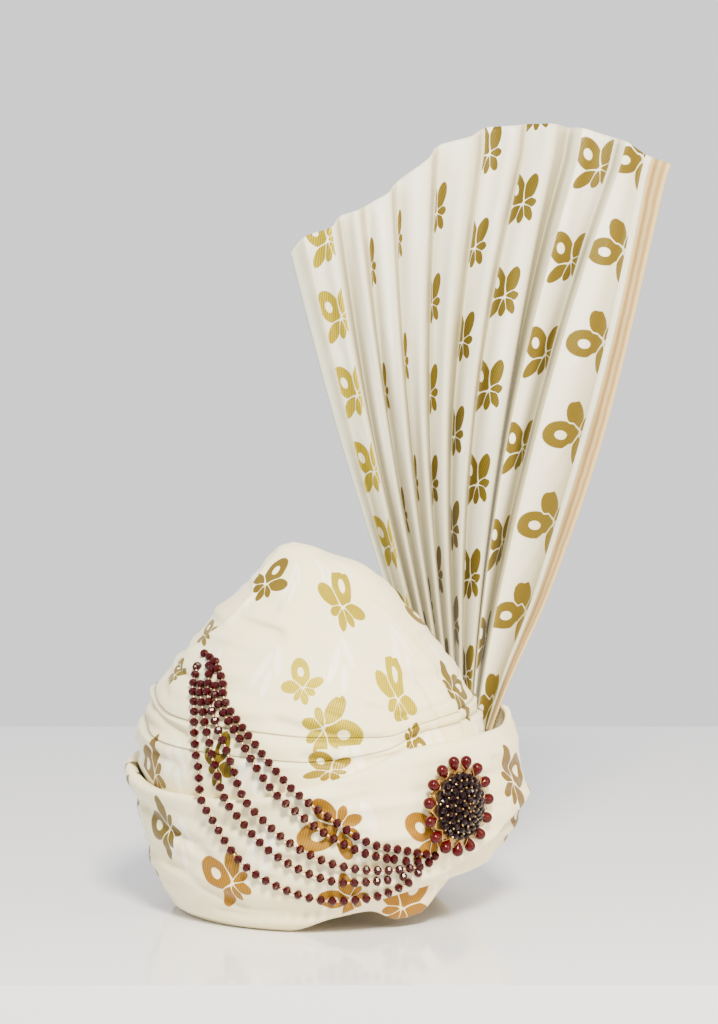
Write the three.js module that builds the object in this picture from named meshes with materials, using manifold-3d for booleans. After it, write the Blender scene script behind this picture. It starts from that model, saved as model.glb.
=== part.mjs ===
// A tied turban: a wound crown, a soft cuff with a rolled lip, a pleated fan that stands
// behind it, a domed bead brooch with red drops, and five garnet strings swung across the side.
// Millimetres, +Z up, -Y towards the front of the picture. A "turn" is an angle round the
// crown's axis in degrees: 0 faces -Y, 90 faces +X.
import * as THREE from "three";
import { mergeVertices } from "three/addons/utils/BufferGeometryUtils.js";
import Module from "manifold-3d";

const wasm = await Module();
wasm.setup();

// Driving sizes
const CROWN_AXIS = { x: -51.5, y: 3 };
const GAP = 0.7;
const TURN_STEPS = 36;
const CROWN_WALL = 9;
const CROWN_WALL_TOP = 12;
const LAP_LEDGE = 2;
const LIP_RISE = 2.5;
const FAN_CLOTH = 1.4;
const FAN_PIVOT = { x: 93, z: 52 };
const FAN_BASE_RADIUS = 60;
const FAN_SEAT = 3.2;
const BEAD_RADIUS = 2.55;
const BEAD_PITCH = 7.3;
const THREAD_RADIUS = 0.85;
const BEAD_SIDES = 10;
const BROOCH = { turn: 44, height: 80.5, seat: 0.9 };
const DROP_COUNT = 15;

// Outer form of the crown: how far it reaches from its axis on each side at each height
const CROWN_LEVELS = [
  { height: 0, left: -97.5, right: 97, front: -98, back: 98 },
  { height: 26, left: -104, right: 102, front: -104, back: 104 },
  { height: 50, left: -109, right: 106, front: -108, back: 108 },
  { height: 75, left: -114, right: 108.5, front: -111.5, back: 111 },
  { height: 100, left: -122, right: 107.5, front: -112.5, back: 110 },
  { height: 112, left: -122.5, right: 106, front: -111, back: 108.5 },
  { height: 125, left: -119.5, right: 103, front: -107.5, back: 105.5 },
  { height: 148, left: -109.5, right: 92.5, front: -97, back: 95 },
  { height: 172, left: -90.5, right: 78, front: -82, back: 81 },
  { height: 195, left: -73, right: 59, front: -64, back: 62 },
  { height: 212, left: -55, right: 43.5, front: -46, back: 45 },
  { height: 228, left: -39.5, right: 22.5, front: -29, back: 28 },
  { height: 234, left: -35, right: 4, front: -20, back: 19 },
  { height: 239, left: -30, right: -9, front: -11, back: 10 },
  { height: 241.5, left: -20.5, right: -20.5, front: 0, back: 0 },
];
const CROWN_TOP = CROWN_LEVELS.at(-1).height;

// The rim stands on the table, and lifts off it over the brow
const RIM = [
  { turn: -180, lift: 0 },
  { turn: -14, lift: 0 },
  { turn: 4, lift: 9 },
  { turn: 18, lift: 13 },
  { turn: 30, lift: 6 },
  { turn: 40, lift: 8 },
  { turn: 47, lift: 20 },
  { turn: 54, lift: 28 },
  { turn: 90, lift: 29 },
  { turn: 115, lift: 17 },
  { turn: 140, lift: 0 },
];

// The upper edges of the crown's laps, which close up towards the brooch, and their steps
const LAPS = [
  { turn: -180, low: 130, middle: 150, high: 171 },
  { turn: -90, low: 126, middle: 146, high: 168 },
  { turn: -55, low: 116, middle: 133, high: 156 },
  { turn: 0, low: 110, middle: 125, high: 145 },
  { turn: 24, low: 116, middle: 124, high: 134 },
  { turn: 42, low: 126, middle: 131, high: 137 },
  { turn: 90, low: 130, middle: 140, high: 156 },
];
const LAP_STEPS = [
  { edge: "low", step: 2.4 },
  { edge: "middle", step: 2.4 },
  { edge: "high", step: 1.8 },
];

// The cuff: where it starts and ends, how far its lip, belly and foot stand off the crown,
// and how much slack its lip leaves, which is the pocket that takes the fan
const CUFF = [
  { turn: -180, bottom: 3, top: 112, lip: 9, belly: 11, foot: 5, slack: 0 },
  { turn: -135, bottom: 3, top: 103, lip: 11, belly: 11, foot: 5, slack: 0 },
  { turn: -90, bottom: 4, top: 93, lip: 13, belly: 10.5, foot: 4, slack: 3 },
  { turn: -54, bottom: 4, top: 84, lip: 11, belly: 11, foot: 5, slack: 1 },
  { turn: -27, bottom: 4, top: 84, lip: 9, belly: 12, foot: 5, slack: 0 },
  { turn: -7, bottom: 5, top: 91, lip: 8, belly: 12, foot: 6, slack: 0 },
  { turn: 5, bottom: 12, top: 97, lip: 8, belly: 12, foot: 6, slack: 0 },
  { turn: 19, bottom: 21, top: 106, lip: 8, belly: 12, foot: 7, slack: 0 },
  { turn: 32, bottom: 26, top: 115, lip: 9, belly: 12, foot: 8, slack: 0 },
  { turn: 54, bottom: 31, top: 118, lip: 12, belly: 14, foot: 8, slack: 0 },
  { turn: 88, bottom: 33, top: 119, lip: 19, belly: 22.5, foot: 9, slack: 11 },
  { turn: 106, bottom: 27, top: 126, lip: 26, belly: 22, foot: 9, slack: 20 },
  { turn: 122, bottom: 18, top: 127, lip: 24, belly: 20, foot: 8, slack: 18 },
  { turn: 155, bottom: 4, top: 119, lip: 10, belly: 12, foot: 6, slack: 0 },
];

// The cuff's section, from its lip down the outside: how far up, and the mix of its sizes
const CUFF_OUTSIDE = [
  { up: 0.93, lip: 1, belly: 0, foot: 0 },
  { up: 0.7, lip: 0.45, belly: 0.55, foot: 0 },
  { up: 0.45, lip: 0, belly: 1, foot: 0 },
  { up: 0.22, lip: 0, belly: 0.75, foot: 0.25 },
  { up: 0.06, lip: 0, belly: 0, foot: 1 },
];
const CUFF_INSIDE_UP = [0, 1 / 3, 2 / 3, 1];

// The fan's folds from left to right: their angle from upright near the base, low down and at
// the top, and how far they reach from the pivot
const FAN_FOLDS = [
  { fold: "ridge", base: -19, low: -18.5, high: -16.7, reach: 398 },
  { fold: "valley", base: -17.4, low: -17.1, high: -15.2, reach: 406 },
  { fold: "ridge", base: -14.2, low: -14.1, high: -12.1, reach: 407 },
  { fold: "valley", base: -13.8, low: -13.8, high: -11.5, reach: 414 },
  { fold: "ridge", base: -11.6, low: -11.6, high: -9.6, reach: 415 },
  { fold: "valley", base: -11.4, low: -11.3, high: -9, reach: 417 },
  { fold: "ridge", base: -9.2, low: -9, high: -6.5, reach: 424 },
  { fold: "valley", base: -9, low: -8.7, high: -5.9, reach: 430 },
  { fold: "ridge", base: -6.8, low: -6.4, high: -2.9, reach: 445 },
  { fold: "valley", base: -6.5, low: -6.1, high: -2.1, reach: 454 },
  { fold: "ridge", base: -4, low: -3.5, high: 0.7, reach: 459 },
  { fold: "valley", base: -3.2, low: -2.7, high: 1.8, reach: 466 },
  { fold: "ridge", base: -1, low: -0.3, high: 4.5, reach: 468 },
  { fold: "valley", base: -0.6, low: 0.2, high: 5.2, reach: 470 },
  { fold: "ridge", base: 3.4, low: 4.6, high: 7.6, reach: 472 },
  { fold: "valley", base: 3.9, low: 5, high: 8.8, reach: 471 },
  { fold: "ridge", base: 4.4, low: 5.5, high: 9.8, reach: 472 },
  { fold: "valley", base: 6.8, low: 8.7, high: 13, reach: 470 },
  { fold: "ridge", base: 7.1, low: 9, high: 13.5, reach: 469 },
  { fold: "valley", base: 14.6, low: 18.4, high: 15.6, reach: 464 },
  { fold: "ridge", base: 16.6, low: 20.9, high: 17.7, reach: 462 },
];
const FOLD_RADII = { base: 64, low: 165, high: 450 };

// How far back the fan's ridges stand, how deep its pleats are, and how far its sides cup forwards
const FAN_PROFILE = [
  { radius: 60, depth: 26, pleat: 10, cup: 0 },
  { radius: 165, depth: 50, pleat: 16, cup: 6 },
  { radius: 300, depth: 66, pleat: 15, cup: 14 },
  { radius: 480, depth: 82, pleat: 12, cup: 24 },
];
const FAN_CUP = { deepest: 4, halfSpread: 20 };
const FAN_SECTIONS = 7;
const FAN_MITRE_MOST = 2.6;

// The garnet strings' routes over the crown and the cuff, from the top end to the brooch
const STRANDS = [
  [
    { turn: -54.5, height: 168 }, { turn: -43.6, height: 145 }, { turn: -37.5, height: 114 },
    { turn: -33.5, height: 78 }, { turn: -21, height: 42 }, { turn: 0, height: 24.5 },
    { turn: 18, height: 25.5 }, { turn: 30, height: 34.5 },
  ],
  [
    { turn: -45.6, height: 158 }, { turn: -39.9, height: 145 }, { turn: -32.5, height: 120 },
    { turn: -27, height: 88 }, { turn: -14, height: 54.5 }, { turn: 4, height: 37 },
    { turn: 19, height: 36 },
  ],
  [
    { turn: -51, height: 174 }, { turn: -42, height: 158 }, { turn: -36.3, height: 145 },
    { turn: -26.5, height: 118 }, { turn: -20.5, height: 88 }, { turn: -9, height: 62 },
    { turn: 6, height: 47 }, { turn: 20, height: 43 }, { turn: 33, height: 43.5 },
  ],
  [
    { turn: -38.4, height: 158 }, { turn: -32.8, height: 145 }, { turn: -23, height: 127 },
    { turn: -12.5, height: 97 }, { turn: 1, height: 69 }, { turn: 13, height: 55 },
    { turn: 21.5, height: 50 },
  ],
  [
    { turn: -46.5, height: 171.5 }, { turn: -35, height: 158 }, { turn: -29.4, height: 145 },
    { turn: -19, height: 126.5 }, { turn: -8, height: 101 }, { turn: 4, height: 77 },
    { turn: 15, height: 61 }, { turn: 25, height: 55.5 }, { turn: 38, height: 48.5 },
  ],
];
const STRAND_CLEARANCE = 0.6;
const STRAND_EASE_ROUNDS = 20;
const LEAN_SPAN = 3;
const LEAN_MOST = 1.2;

// The brooch: a padded plate with points between its drops, a dome and rings of cut stones
const PLATE = { notch: 21.8, point: 26.5, thickness: 5 };
const DOME = { radius: 20.6, height: 8, steps: 3, sides: 12 };
const STONE_RINGS = [
  { from: 0, count: 1 },
  { from: 5.6, count: 6 },
  { from: 11.1, count: 11 },
  { from: 16.5, count: 16 },
];
const STONE = { girdle: 2.6, table: 1.35, rise: 2.2, sunk: 0.7, sides: 8 };
const DROP = { tip: 22.3, radius: 3.7, length: 10.2, sides: 10 };
const DROP_PROFILE = [
  { along: 0, wide: 0 },
  { along: 0.22, wide: 0.5 },
  { along: 0.58, wide: 1 },
  { along: 0.87, wide: 0.72 },
  { along: 1, wide: 0 },
];

const CLOTH = new THREE.MeshStandardMaterial({ color: 0xf1eddb, roughness: 0.55, metalness: 0 });
const FAN_BROCADE = new THREE.MeshStandardMaterial({ color: 0xe9e3c8, roughness: 0.5, metalness: 0 });
const GARNET = new THREE.MeshStandardMaterial({ color: 0x5a0b14, roughness: 0.15, metalness: 0 });
const RED_GLASS = new THREE.MeshStandardMaterial({ color: 0x8b0a12, roughness: 0.12, metalness: 0 });
const DARK_STONES = new THREE.MeshStandardMaterial({ color: 0x2a060b, roughness: 0.15, metalness: 0.1 });

const degrees = (angle) => (angle * Math.PI) / 180;
const mix = (from, to, share) => from + (to - from) * share;

// Reads a table by a smooth curve through its rows that never overshoots between them
function readTable(rows, key, column, where) {
  const last = rows.length - 1;
  const at = Math.min(Math.max(where, rows[0][key]), rows[last][key]);
  let row = 0;
  while (row < last - 1 && at > rows[row + 1][key]) {
    row += 1;
  }
  const width = (i) => rows[i + 1][key] - rows[i][key];
  const rise = (i) => (rows[i + 1][column] - rows[i][column]) / width(i);
  const slope = (i) => {
    if (i === 0) {
      return rise(0);
    }
    if (i === last) {
      return rise(last - 1);
    }
    if (rise(i - 1) * rise(i) <= 0) {
      return 0;
    }
    const before = 2 * width(i) + width(i - 1);
    const after = width(i) + 2 * width(i - 1);
    return (before + after) / (before / rise(i - 1) + after / rise(i));
  };
  const span = width(row);
  const t = (at - rows[row][key]) / span;
  const start = rows[row][column] * (1 + 2 * t) * (1 - t) ** 2 + slope(row) * span * t * (1 - t) ** 2;
  const end = rows[row + 1][column] * t * t * (3 - 2 * t) + slope(row + 1) * span * t * t * (t - 1);
  return start + end;
}

// Repeats a table of turns once before and once after, so that it can be read all the way round
function allRound(rows) {
  const shifted = (by) => rows.map((row) => ({ ...row, turn: row.turn + by }));
  return [...shifted(-360), ...rows, ...shifted(360)];
}

const RIM_ROUND = allRound(RIM);
const LAPS_ROUND = allRound(LAPS);
const CUFF_ROUND = allRound(CUFF);
const rimLift = (turn) => readTable(RIM_ROUND, "turn", "lift", turn);
const cuff = (turn, column) => readTable(CUFF_ROUND, "turn", column, turn);

// The crown's oval section at a height
function crownSection(height) {
  const reach = (column) => readTable(CROWN_LEVELS, "height", column, height);
  return {
    x: (reach("left") + reach("right")) / 2,
    y: (reach("front") + reach("back")) / 2,
    wide: (reach("right") - reach("left")) / 2,
    deep: (reach("back") - reach("front")) / 2,
  };
}

// A point on the crown's form, pushed out from it or, with a push below 0, into it
function crownPoint(turn, height, push = 0) {
  const section = crownSection(height);
  const angle = degrees(turn);
  return new THREE.Vector3(
    section.x + (section.wide + push) * Math.sin(angle),
    section.y - (section.deep + push) * Math.cos(angle),
    height,
  );
}

// The laps' saw-tooth: each lap leans out to the step at its upper edge
function lapRelief(turn, height) {
  let lower = cuff(turn, "top");
  for (const { edge, step } of LAP_STEPS) {
    const upper = readTable(LAPS_ROUND, "turn", edge, turn);
    if (height <= upper) {
      return height <= lower ? 0 : (step * (height - lower)) / (upper - lower);
    }
    lower = upper;
  }
  return 0;
}

// How far the cuff's outer face stands off the crown's form
function cuffRelief(turn, height) {
  const bottom = cuff(turn, "bottom");
  const top = cuff(turn, "top");
  const up = (height - bottom) / (top - bottom);
  if (up < 0 || up > 1) {
    return 0;
  }
  const rows = CUFF_OUTSIDE.map((row) => ({ up: row.up, push: cuffPush(turn, row) })).reverse();
  return readTable(rows, "up", "push", up);
}

function cuffPush(turn, row) {
  return row.lip * cuff(turn, "lip") + row.belly * cuff(turn, "belly") + row.foot * cuff(turn, "foot");
}

// Makes a closed mesh from rows of points that run down it, with columns that go round it.
// Rows may be a single repeated point, ringed rows join the last to the first.
function skin(rows, ringed = false) {
  const corners = [];
  const face = (a, b, c) => {
    if (a.distanceTo(b) > 1e-6 && b.distanceTo(c) > 1e-6 && c.distanceTo(a) > 1e-6) {
      corners.push(a, b, c);
    }
  };
  const bands = ringed ? rows.length : rows.length - 1;
  for (let i = 0; i < bands; i += 1) {
    const above = rows[i];
    const below = rows[(i + 1) % rows.length];
    for (let j = 0; j < above.length; j += 1) {
      const next = (j + 1) % above.length;
      face(above[j], below[j], below[next]);
      face(above[j], below[next], above[next]);
    }
  }
  return meshFrom(corners);
}

function meshFrom(corners) {
  const geometry = new THREE.BufferGeometry().setFromPoints(corners);
  return mergeVertices(geometry, 1e-5);
}

function named(name, geometry, material) {
  const mesh = new THREE.Mesh(geometry, material);
  mesh.name = name;
  return mesh;
}

const TURN_LIST = Array.from({ length: TURN_STEPS }, (_, i) => -180 + (360 * i) / TURN_STEPS);

// The crown: outer laps from the peak down to the rim, then the hollow back up to its top
function crown() {
  const upperShares = [0.93, 0.82, 0.67, 0.5, 0.33, 0.16];
  const hollowShares = [0, 0.22, 0.45, 0.68, 0.88];
  const hollowTop = CROWN_TOP - 2 * CROWN_WALL_TOP;
  const columns = TURN_LIST.map((turn) => {
    const edge = (name) => readTable(LAPS_ROUND, "turn", name, turn);
    const bottom = cuff(turn, "bottom");
    const top = cuff(turn, "top");
    const rim = rimLift(turn);
    const points = [crownPoint(turn, CROWN_TOP)];
    for (const share of upperShares) {
      points.push(crownPoint(turn, mix(edge("high") + LAP_LEDGE, CROWN_TOP, share)));
    }
    for (const { edge: name, step } of [...LAP_STEPS].reverse()) {
      points.push(crownPoint(turn, edge(name) + LAP_LEDGE));
      points.push(crownPoint(turn, edge(name), step));
    }
    for (const up of [...CUFF_INSIDE_UP].reverse()) {
      points.push(crownPoint(turn, mix(bottom, top, up)));
    }
    points.push(crownPoint(turn, rim));
    for (const share of hollowShares) {
      const height = mix(rim, hollowTop, share);
      const wall = mix(CROWN_WALL, CROWN_WALL_TOP, share);
      const inside = crownPoint(turn, height + share * CROWN_WALL_TOP, -wall);
      points.push(inside.setZ(height));
    }
    points.push(crownPoint(0, CROWN_TOP).setZ(hollowTop));
    return points;
  });
  const rows = columns[0].map((_, i) => columns.map((column) => column[i]));
  return named("crown", skin(rows), CLOTH);
}

// The cuff: a closed section carried all the way round the crown
function browBand() {
  const columns = TURN_LIST.map((turn) => {
    const bottom = cuff(turn, "bottom");
    const top = cuff(turn, "top");
    const inner = (up) => GAP + cuff(turn, "slack") * up * up * (3 - 2 * up);
    const crest = mix(inner(1), cuff(turn, "lip"), 0.5);
    const points = [crownPoint(turn, top, crest).setZ(top + LIP_RISE)];
    for (const row of CUFF_OUTSIDE) {
      points.push(crownPoint(turn, mix(bottom, top, row.up), cuffPush(turn, row)));
    }
    points.push(crownPoint(turn, bottom, cuff(turn, "foot") * 0.6));
    for (const up of CUFF_INSIDE_UP) {
      points.push(crownPoint(turn, mix(bottom, top, up), inner(up)));
    }
    return points;
  });
  const rows = columns[0].map((_, i) => columns.map((column) => column[i]));
  return named("brow_band", skin(rows, true), CLOTH);
}

// A fold's angle from upright at a distance from the pivot
function foldAngle(fold, radius) {
  const rows = Object.entries(FOLD_RADII).map(([name, at]) => ({ at, angle: fold[name] }));
  return readTable(rows, "at", "angle", radius);
}

// A point on a fold, at a distance from the pivot
function foldPoint(fold, radius) {
  const profile = (column) => readTable(FAN_PROFILE, "radius", column, radius);
  const angle = foldAngle(fold, radius);
  const spread = (angle - FAN_CUP.deepest) / FAN_CUP.halfSpread;
  const pleat = fold.fold === "valley" ? profile("pleat") : 0;
  return new THREE.Vector3(
    FAN_PIVOT.x + radius * Math.sin(degrees(angle)),
    profile("depth") + pleat - profile("cup") * spread * spread,
    FAN_PIVOT.z + radius * Math.cos(degrees(angle)),
  );
}

// The distance from the pivot at which a fold has come clear of the crown, where it is seated
function foldStart(fold) {
  let radius = FAN_BASE_RADIUS;
  for (;;) {
    const point = foldPoint(fold, radius);
    const section = crownSection(point.z);
    const aside = (point.x - section.x) / section.wide;
    const behind = (point.y - FAN_MITRE_MOST - section.y) / section.deep;
    const clear = (Math.hypot(aside, behind) - 1) * Math.min(section.wide, section.deep);
    if (clear >= FAN_SEAT || point.z > CROWN_TOP) {
      return radius;
    }
    radius += 1;
  }
}

// The fan: a zigzag sheet whose wall is its cloth, thickened along its pleats' depth
function fan() {
  const starts = FAN_FOLDS.map(foldStart);
  const rows = [];
  for (let i = 0; i <= FAN_SECTIONS; i += 1) {
    const share = i / FAN_SECTIONS;
    const middle = FAN_FOLDS.map((fold, k) => foldPoint(fold, mix(fold.reach, starts[k], share)));
    const half = middle.map((point, k) => {
      const next = middle[k === middle.length - 1 ? k - 1 : k + 1];
      const slope = Math.abs(next.y - point.y) / Math.max(Math.abs(next.x - point.x), 0.1);
      return Math.min((FAN_CLOTH / 2) * Math.hypot(1, slope), FAN_MITRE_MOST);
    });
    const shifted = (side) => middle.map((point, k) => point.clone().setY(point.y + side * half[k]));
    rows.push([...shifted(-1), ...shifted(1).reverse()]);
  }
  const last = FAN_FOLDS.length - 1;
  const edges = [];
  for (let k = 0; k < last; k += 1) {
    const strip = (row) => [row[k], row[k + 1], row[2 * last - k], row[2 * last + 1 - k]];
    const [a, b, c, d] = strip(rows[0]);
    edges.push(a, b, c, a, c, d);
    const [e, f, g, h] = strip(rows[FAN_SECTIONS]);
    edges.push(e, g, f, e, h, g);
  }
  const sides = skin(rows).toNonIndexed();
  const points = [];
  const position = sides.getAttribute("position");
  for (let i = 0; i < position.count; i += 1) {
    points.push(new THREE.Vector3().fromBufferAttribute(position, i));
  }
  return named("fan", meshFrom([...points, ...edges]), FAN_BROCADE);
}

// How far the dressed turban stands off the crown's form, and from its axis
const relief = (turn, height) => Math.max(lapRelief(turn, height), cuffRelief(turn, height));

function dressedReach(turn, height) {
  const point = crownPoint(turn, height, relief(turn, height));
  return Math.hypot(point.x, point.y);
}

// A string's line: its route laid over the crown and the cuff, then eased where it bridges a dip
function strandLine(route) {
  const flat = new THREE.CatmullRomCurve3(
    route.map(({ turn, height }) => new THREE.Vector3(turn, height, 0)),
    false,
    "centripetal",
  );
  const places = flat.getPoints(route.length * 12);
  const lift = places.map(({ x: turn, y: height }) => {
    const fall = dressedReach(turn, height + LEAN_SPAN) - dressedReach(turn, height - LEAN_SPAN);
    const lean = fall / (2 * LEAN_SPAN);
    const tilt = Math.hypot(1, Math.min(Math.abs(lean), LEAN_MOST));
    return relief(turn, height) + (BEAD_RADIUS + STRAND_CLEARANCE) * tilt;
  });
  const ends = places.length - 1;
  const reach = places.map((place, i) => crownPoint(place.x, place.y, lift[i]));
  const out = reach.map((point) => Math.hypot(point.x, point.y));
  const least = [...out];
  for (let round = 0; round < STRAND_EASE_ROUNDS; round += 1) {
    for (let i = 1; i < ends; i += 1) {
      out[i] = Math.max(least[i], (out[i - 1] + out[i + 1]) / 2);
    }
  }
  const line = reach.map((point, i) => {
    const scale = out[i] / least[i];
    return new THREE.Vector3(point.x * scale, point.y * scale, point.z);
  });
  return new THREE.CatmullRomCurve3(line);
}

// A string of cut beads as one body: a waist at the thread, then a bead's girdle, in turn
function strand(route, index) {
  const curve = strandLine(route);
  const length = curve.getLength();
  const count = Math.floor(length / BEAD_PITCH);
  const rings = 2 * count;
  const rows = [];
  for (let i = 0; i <= rings; i += 1) {
    const share = i / rings;
    const centre = curve.getPointAt(share);
    const along = curve.getTangentAt(share);
    const out = new THREE.Vector3(centre.x, centre.y, 0).normalize();
    const side = new THREE.Vector3().crossVectors(along, out).normalize();
    const up = new THREE.Vector3().crossVectors(side, along);
    const radius = i % 2 === 1 ? BEAD_RADIUS : THREAD_RADIUS;
    const ring = [];
    for (let k = 0; k < BEAD_SIDES; k += 1) {
      const angle = (2 * Math.PI * k) / BEAD_SIDES;
      const spoke = side.clone().multiplyScalar(Math.cos(angle)).addScaledVector(up, Math.sin(angle));
      ring.push(centre.clone().addScaledVector(spoke, radius));
    }
    rows.push(ring);
  }
  const cap = (share) => Array(BEAD_SIDES).fill(curve.getPointAt(share));
  return named(`strand_${index + 1}`, skin([cap(0), ...rows, cap(1)]), GARNET);
}

// Turns a geometry into a solid that can be joined, and back
function solid(geometry) {
  const bare = geometry.clone();
  bare.deleteAttribute("normal");
  bare.deleteAttribute("uv");
  const merged = mergeVertices(bare, 1e-4);
  return new wasm.Manifold(
    new wasm.Mesh({
      numProp: 3,
      vertProperties: new Float32Array(merged.getAttribute("position").array),
      triVerts: new Uint32Array(merged.index.array),
    }),
  );
}

function fromSolid(joined) {
  const mesh = joined.getMesh();
  const geometry = new THREE.BufferGeometry();
  geometry.setAttribute("position", new THREE.BufferAttribute(new Float32Array(mesh.vertProperties), 3));
  geometry.setIndex(new THREE.BufferAttribute(new Uint32Array(mesh.triVerts), 1));
  return geometry;
}

// The height of the dome over the plate at a distance from its middle
const domeHeight = (from) => DOME.height * (1 - (from / DOME.radius) ** 2);

// The domed field of stones, fused to its plate, with +Z away from the cuff
function broochCluster() {
  const outline = new THREE.Shape();
  for (let i = 0; i < 2 * DROP_COUNT; i += 1) {
    const angle = (Math.PI * i) / DROP_COUNT;
    const radius = i % 2 === 0 ? PLATE.notch : PLATE.point;
    const [x, y] = [radius * Math.cos(angle), radius * Math.sin(angle)];
    if (i === 0) {
      outline.moveTo(x, y);
    } else {
      outline.lineTo(x, y);
    }
  }
  outline.closePath();
  const plate = new THREE.ExtrudeGeometry(outline, { depth: PLATE.thickness, bevelEnabled: false });
  const profile = [new THREE.Vector2(0, PLATE.thickness - 1)];
  for (let i = DOME.steps; i >= 0; i -= 1) {
    const from = (DOME.radius * i) / DOME.steps;
    const height = i === DOME.steps ? PLATE.thickness - 1 : PLATE.thickness + domeHeight(from);
    profile.push(new THREE.Vector2(from, height));
  }
  const dome = new THREE.LatheGeometry(profile, DOME.sides).rotateX(Math.PI / 2);
  let field = solid(plate).add(solid(dome));
  for (const { from, count } of STONE_RINGS) {
    for (let i = 0; i < count; i += 1) {
      const angle = (2 * Math.PI * i) / count;
      const slope = (2 * DOME.height * from) / DOME.radius ** 2;
      const stone = new THREE.CylinderGeometry(STONE.table, STONE.girdle, STONE.rise, STONE.sides);
      stone.rotateX(Math.PI / 2);
      stone.translate(0, 0, STONE.rise / 2 - STONE.sunk);
      stone.rotateY(Math.atan(slope));
      stone.translate(from, 0, PLATE.thickness + domeHeight(from));
      stone.rotateZ(angle);
      field = field.add(solid(stone));
    }
  }
  return named("brooch_cluster", fromSolid(field), DARK_STONES);
}

// A red pear drop that lies with its tip at the plate's notch
function drop(index) {
  const profile = DROP_PROFILE.map(
    ({ along, wide }) => new THREE.Vector2(wide * DROP.radius, along * DROP.length),
  );
  const geometry = new THREE.LatheGeometry(profile, DROP.sides);
  geometry.rotateZ(-Math.PI / 2);
  geometry.translate(DROP.tip, 0, DROP.radius);
  geometry.rotateZ((2 * Math.PI * index) / DROP_COUNT);
  return named(`drop_${String(index + 1).padStart(2, "0")}`, geometry, RED_GLASS);
}

// The brooch's group: +Z out of the cuff, +Y up it, seated on the cuff's highest point under it
function brooch(band) {
  const at = (turn, height) => crownPoint(turn, height, cuffRelief(turn, height));
  const middle = at(BROOCH.turn, BROOCH.height);
  const upward = at(BROOCH.turn, BROOCH.height + 12).sub(at(BROOCH.turn, BROOCH.height - 12)).normalize();
  const aside = new THREE.Vector3(Math.cos(degrees(BROOCH.turn)), Math.sin(degrees(BROOCH.turn)), 0);
  const outward = new THREE.Vector3().crossVectors(aside, upward).normalize();
  const position = band.geometry.getAttribute("position");
  let seat = -Infinity;
  for (let i = 0; i < position.count; i += 1) {
    const away = new THREE.Vector3().fromBufferAttribute(position, i).sub(middle);
    if (away.length() < PLATE.point + DROP.length) {
      seat = Math.max(seat, away.dot(outward));
    }
  }
  const group = new THREE.Group();
  group.position.copy(middle).addScaledVector(outward, seat + BROOCH.seat);
  group.quaternion.setFromRotationMatrix(new THREE.Matrix4().makeBasis(aside, upward, outward));
  group.add(broochCluster());
  for (let i = 0; i < DROP_COUNT; i += 1) {
    group.add(drop(i));
  }
  return group;
}

const turban = new THREE.Group();
turban.position.set(CROWN_AXIS.x, CROWN_AXIS.y, 0);
const band = browBand();
turban.add(crown(), band, fan(), brooch(band));
STRANDS.forEach((route, index) => turban.add(strand(route, index)));
turban.updateMatrixWorld(true);

export default turban;
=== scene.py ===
"""A tied turban with a pleated fan, a garnet brooch and five bead strings, dressed over its solids.

Shapes are worked out in millimetres in the crown's own frame: +Z up, -Y towards the viewer.
A "turn" is an angle round the crown's axis in degrees: 0 faces -Y and 90 faces +X.
"""

import math

import bmesh
import bpy
import numpy as np
from mathutils import Matrix, Vector


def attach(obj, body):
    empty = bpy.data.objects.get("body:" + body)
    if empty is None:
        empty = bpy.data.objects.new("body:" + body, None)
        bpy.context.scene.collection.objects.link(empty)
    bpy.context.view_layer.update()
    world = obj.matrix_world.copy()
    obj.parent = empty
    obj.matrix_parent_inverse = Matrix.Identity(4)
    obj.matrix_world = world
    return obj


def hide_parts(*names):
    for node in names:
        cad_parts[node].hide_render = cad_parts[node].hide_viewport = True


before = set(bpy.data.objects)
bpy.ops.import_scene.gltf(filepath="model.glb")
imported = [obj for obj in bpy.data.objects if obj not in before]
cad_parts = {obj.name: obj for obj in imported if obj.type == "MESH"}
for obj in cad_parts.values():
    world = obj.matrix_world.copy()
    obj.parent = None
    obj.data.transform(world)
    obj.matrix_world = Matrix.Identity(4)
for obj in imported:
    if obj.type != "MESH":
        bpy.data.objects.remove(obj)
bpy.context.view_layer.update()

MM = 0.001
CROWN_AXIS = np.array((-51.5, 3.0, 0.0))


def table(columns, rows):
    """Rows of numbers under named columns; the first column is the one that is looked up."""
    cells = np.array(rows, float)
    return {name: cells[:, i] for i, name in enumerate(columns.split())}


def all_round(rows):
    """Repeats rows of turns once before and once after, so that they read all the way round."""
    cells = np.array(rows, float)
    full_turn = np.zeros(cells.shape[1])
    full_turn[0] = 360
    return np.vstack([cells - full_turn, cells, cells + full_turn])


# The crown's outer form: how far it reaches from its axis on each side at each height
CROWN_LEVELS = table("height left right front back", [
    (0, -97.5, 97, -98, 98), (26, -104, 102, -104, 104), (50, -109, 106, -108, 108),
    (75, -114, 108.5, -111.5, 111), (100, -122, 107.5, -112.5, 110),
    (112, -122.5, 106, -111, 108.5), (125, -119.5, 103, -107.5, 105.5),
    (148, -109.5, 92.5, -97, 95), (172, -90.5, 78, -82, 81), (195, -73, 59, -64, 62),
    (212, -55, 43.5, -46, 45), (228, -39.5, 22.5, -29, 28), (234, -35, 4, -20, 19),
    (239, -30, -9, -11, 10), (241.5, -20.5, -20.5, 0, 0),
])
CROWN_TOP = 241.5
CROWN_WALL = 9
CROWN_WALL_TOP = 12
RIM = table("turn lift", all_round([
    (-180, 0), (-14, 0), (4, 9), (18, 13), (30, 6), (40, 8), (47, 20), (54, 28), (90, 29),
    (115, 17), (140, 0),
]))
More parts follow.
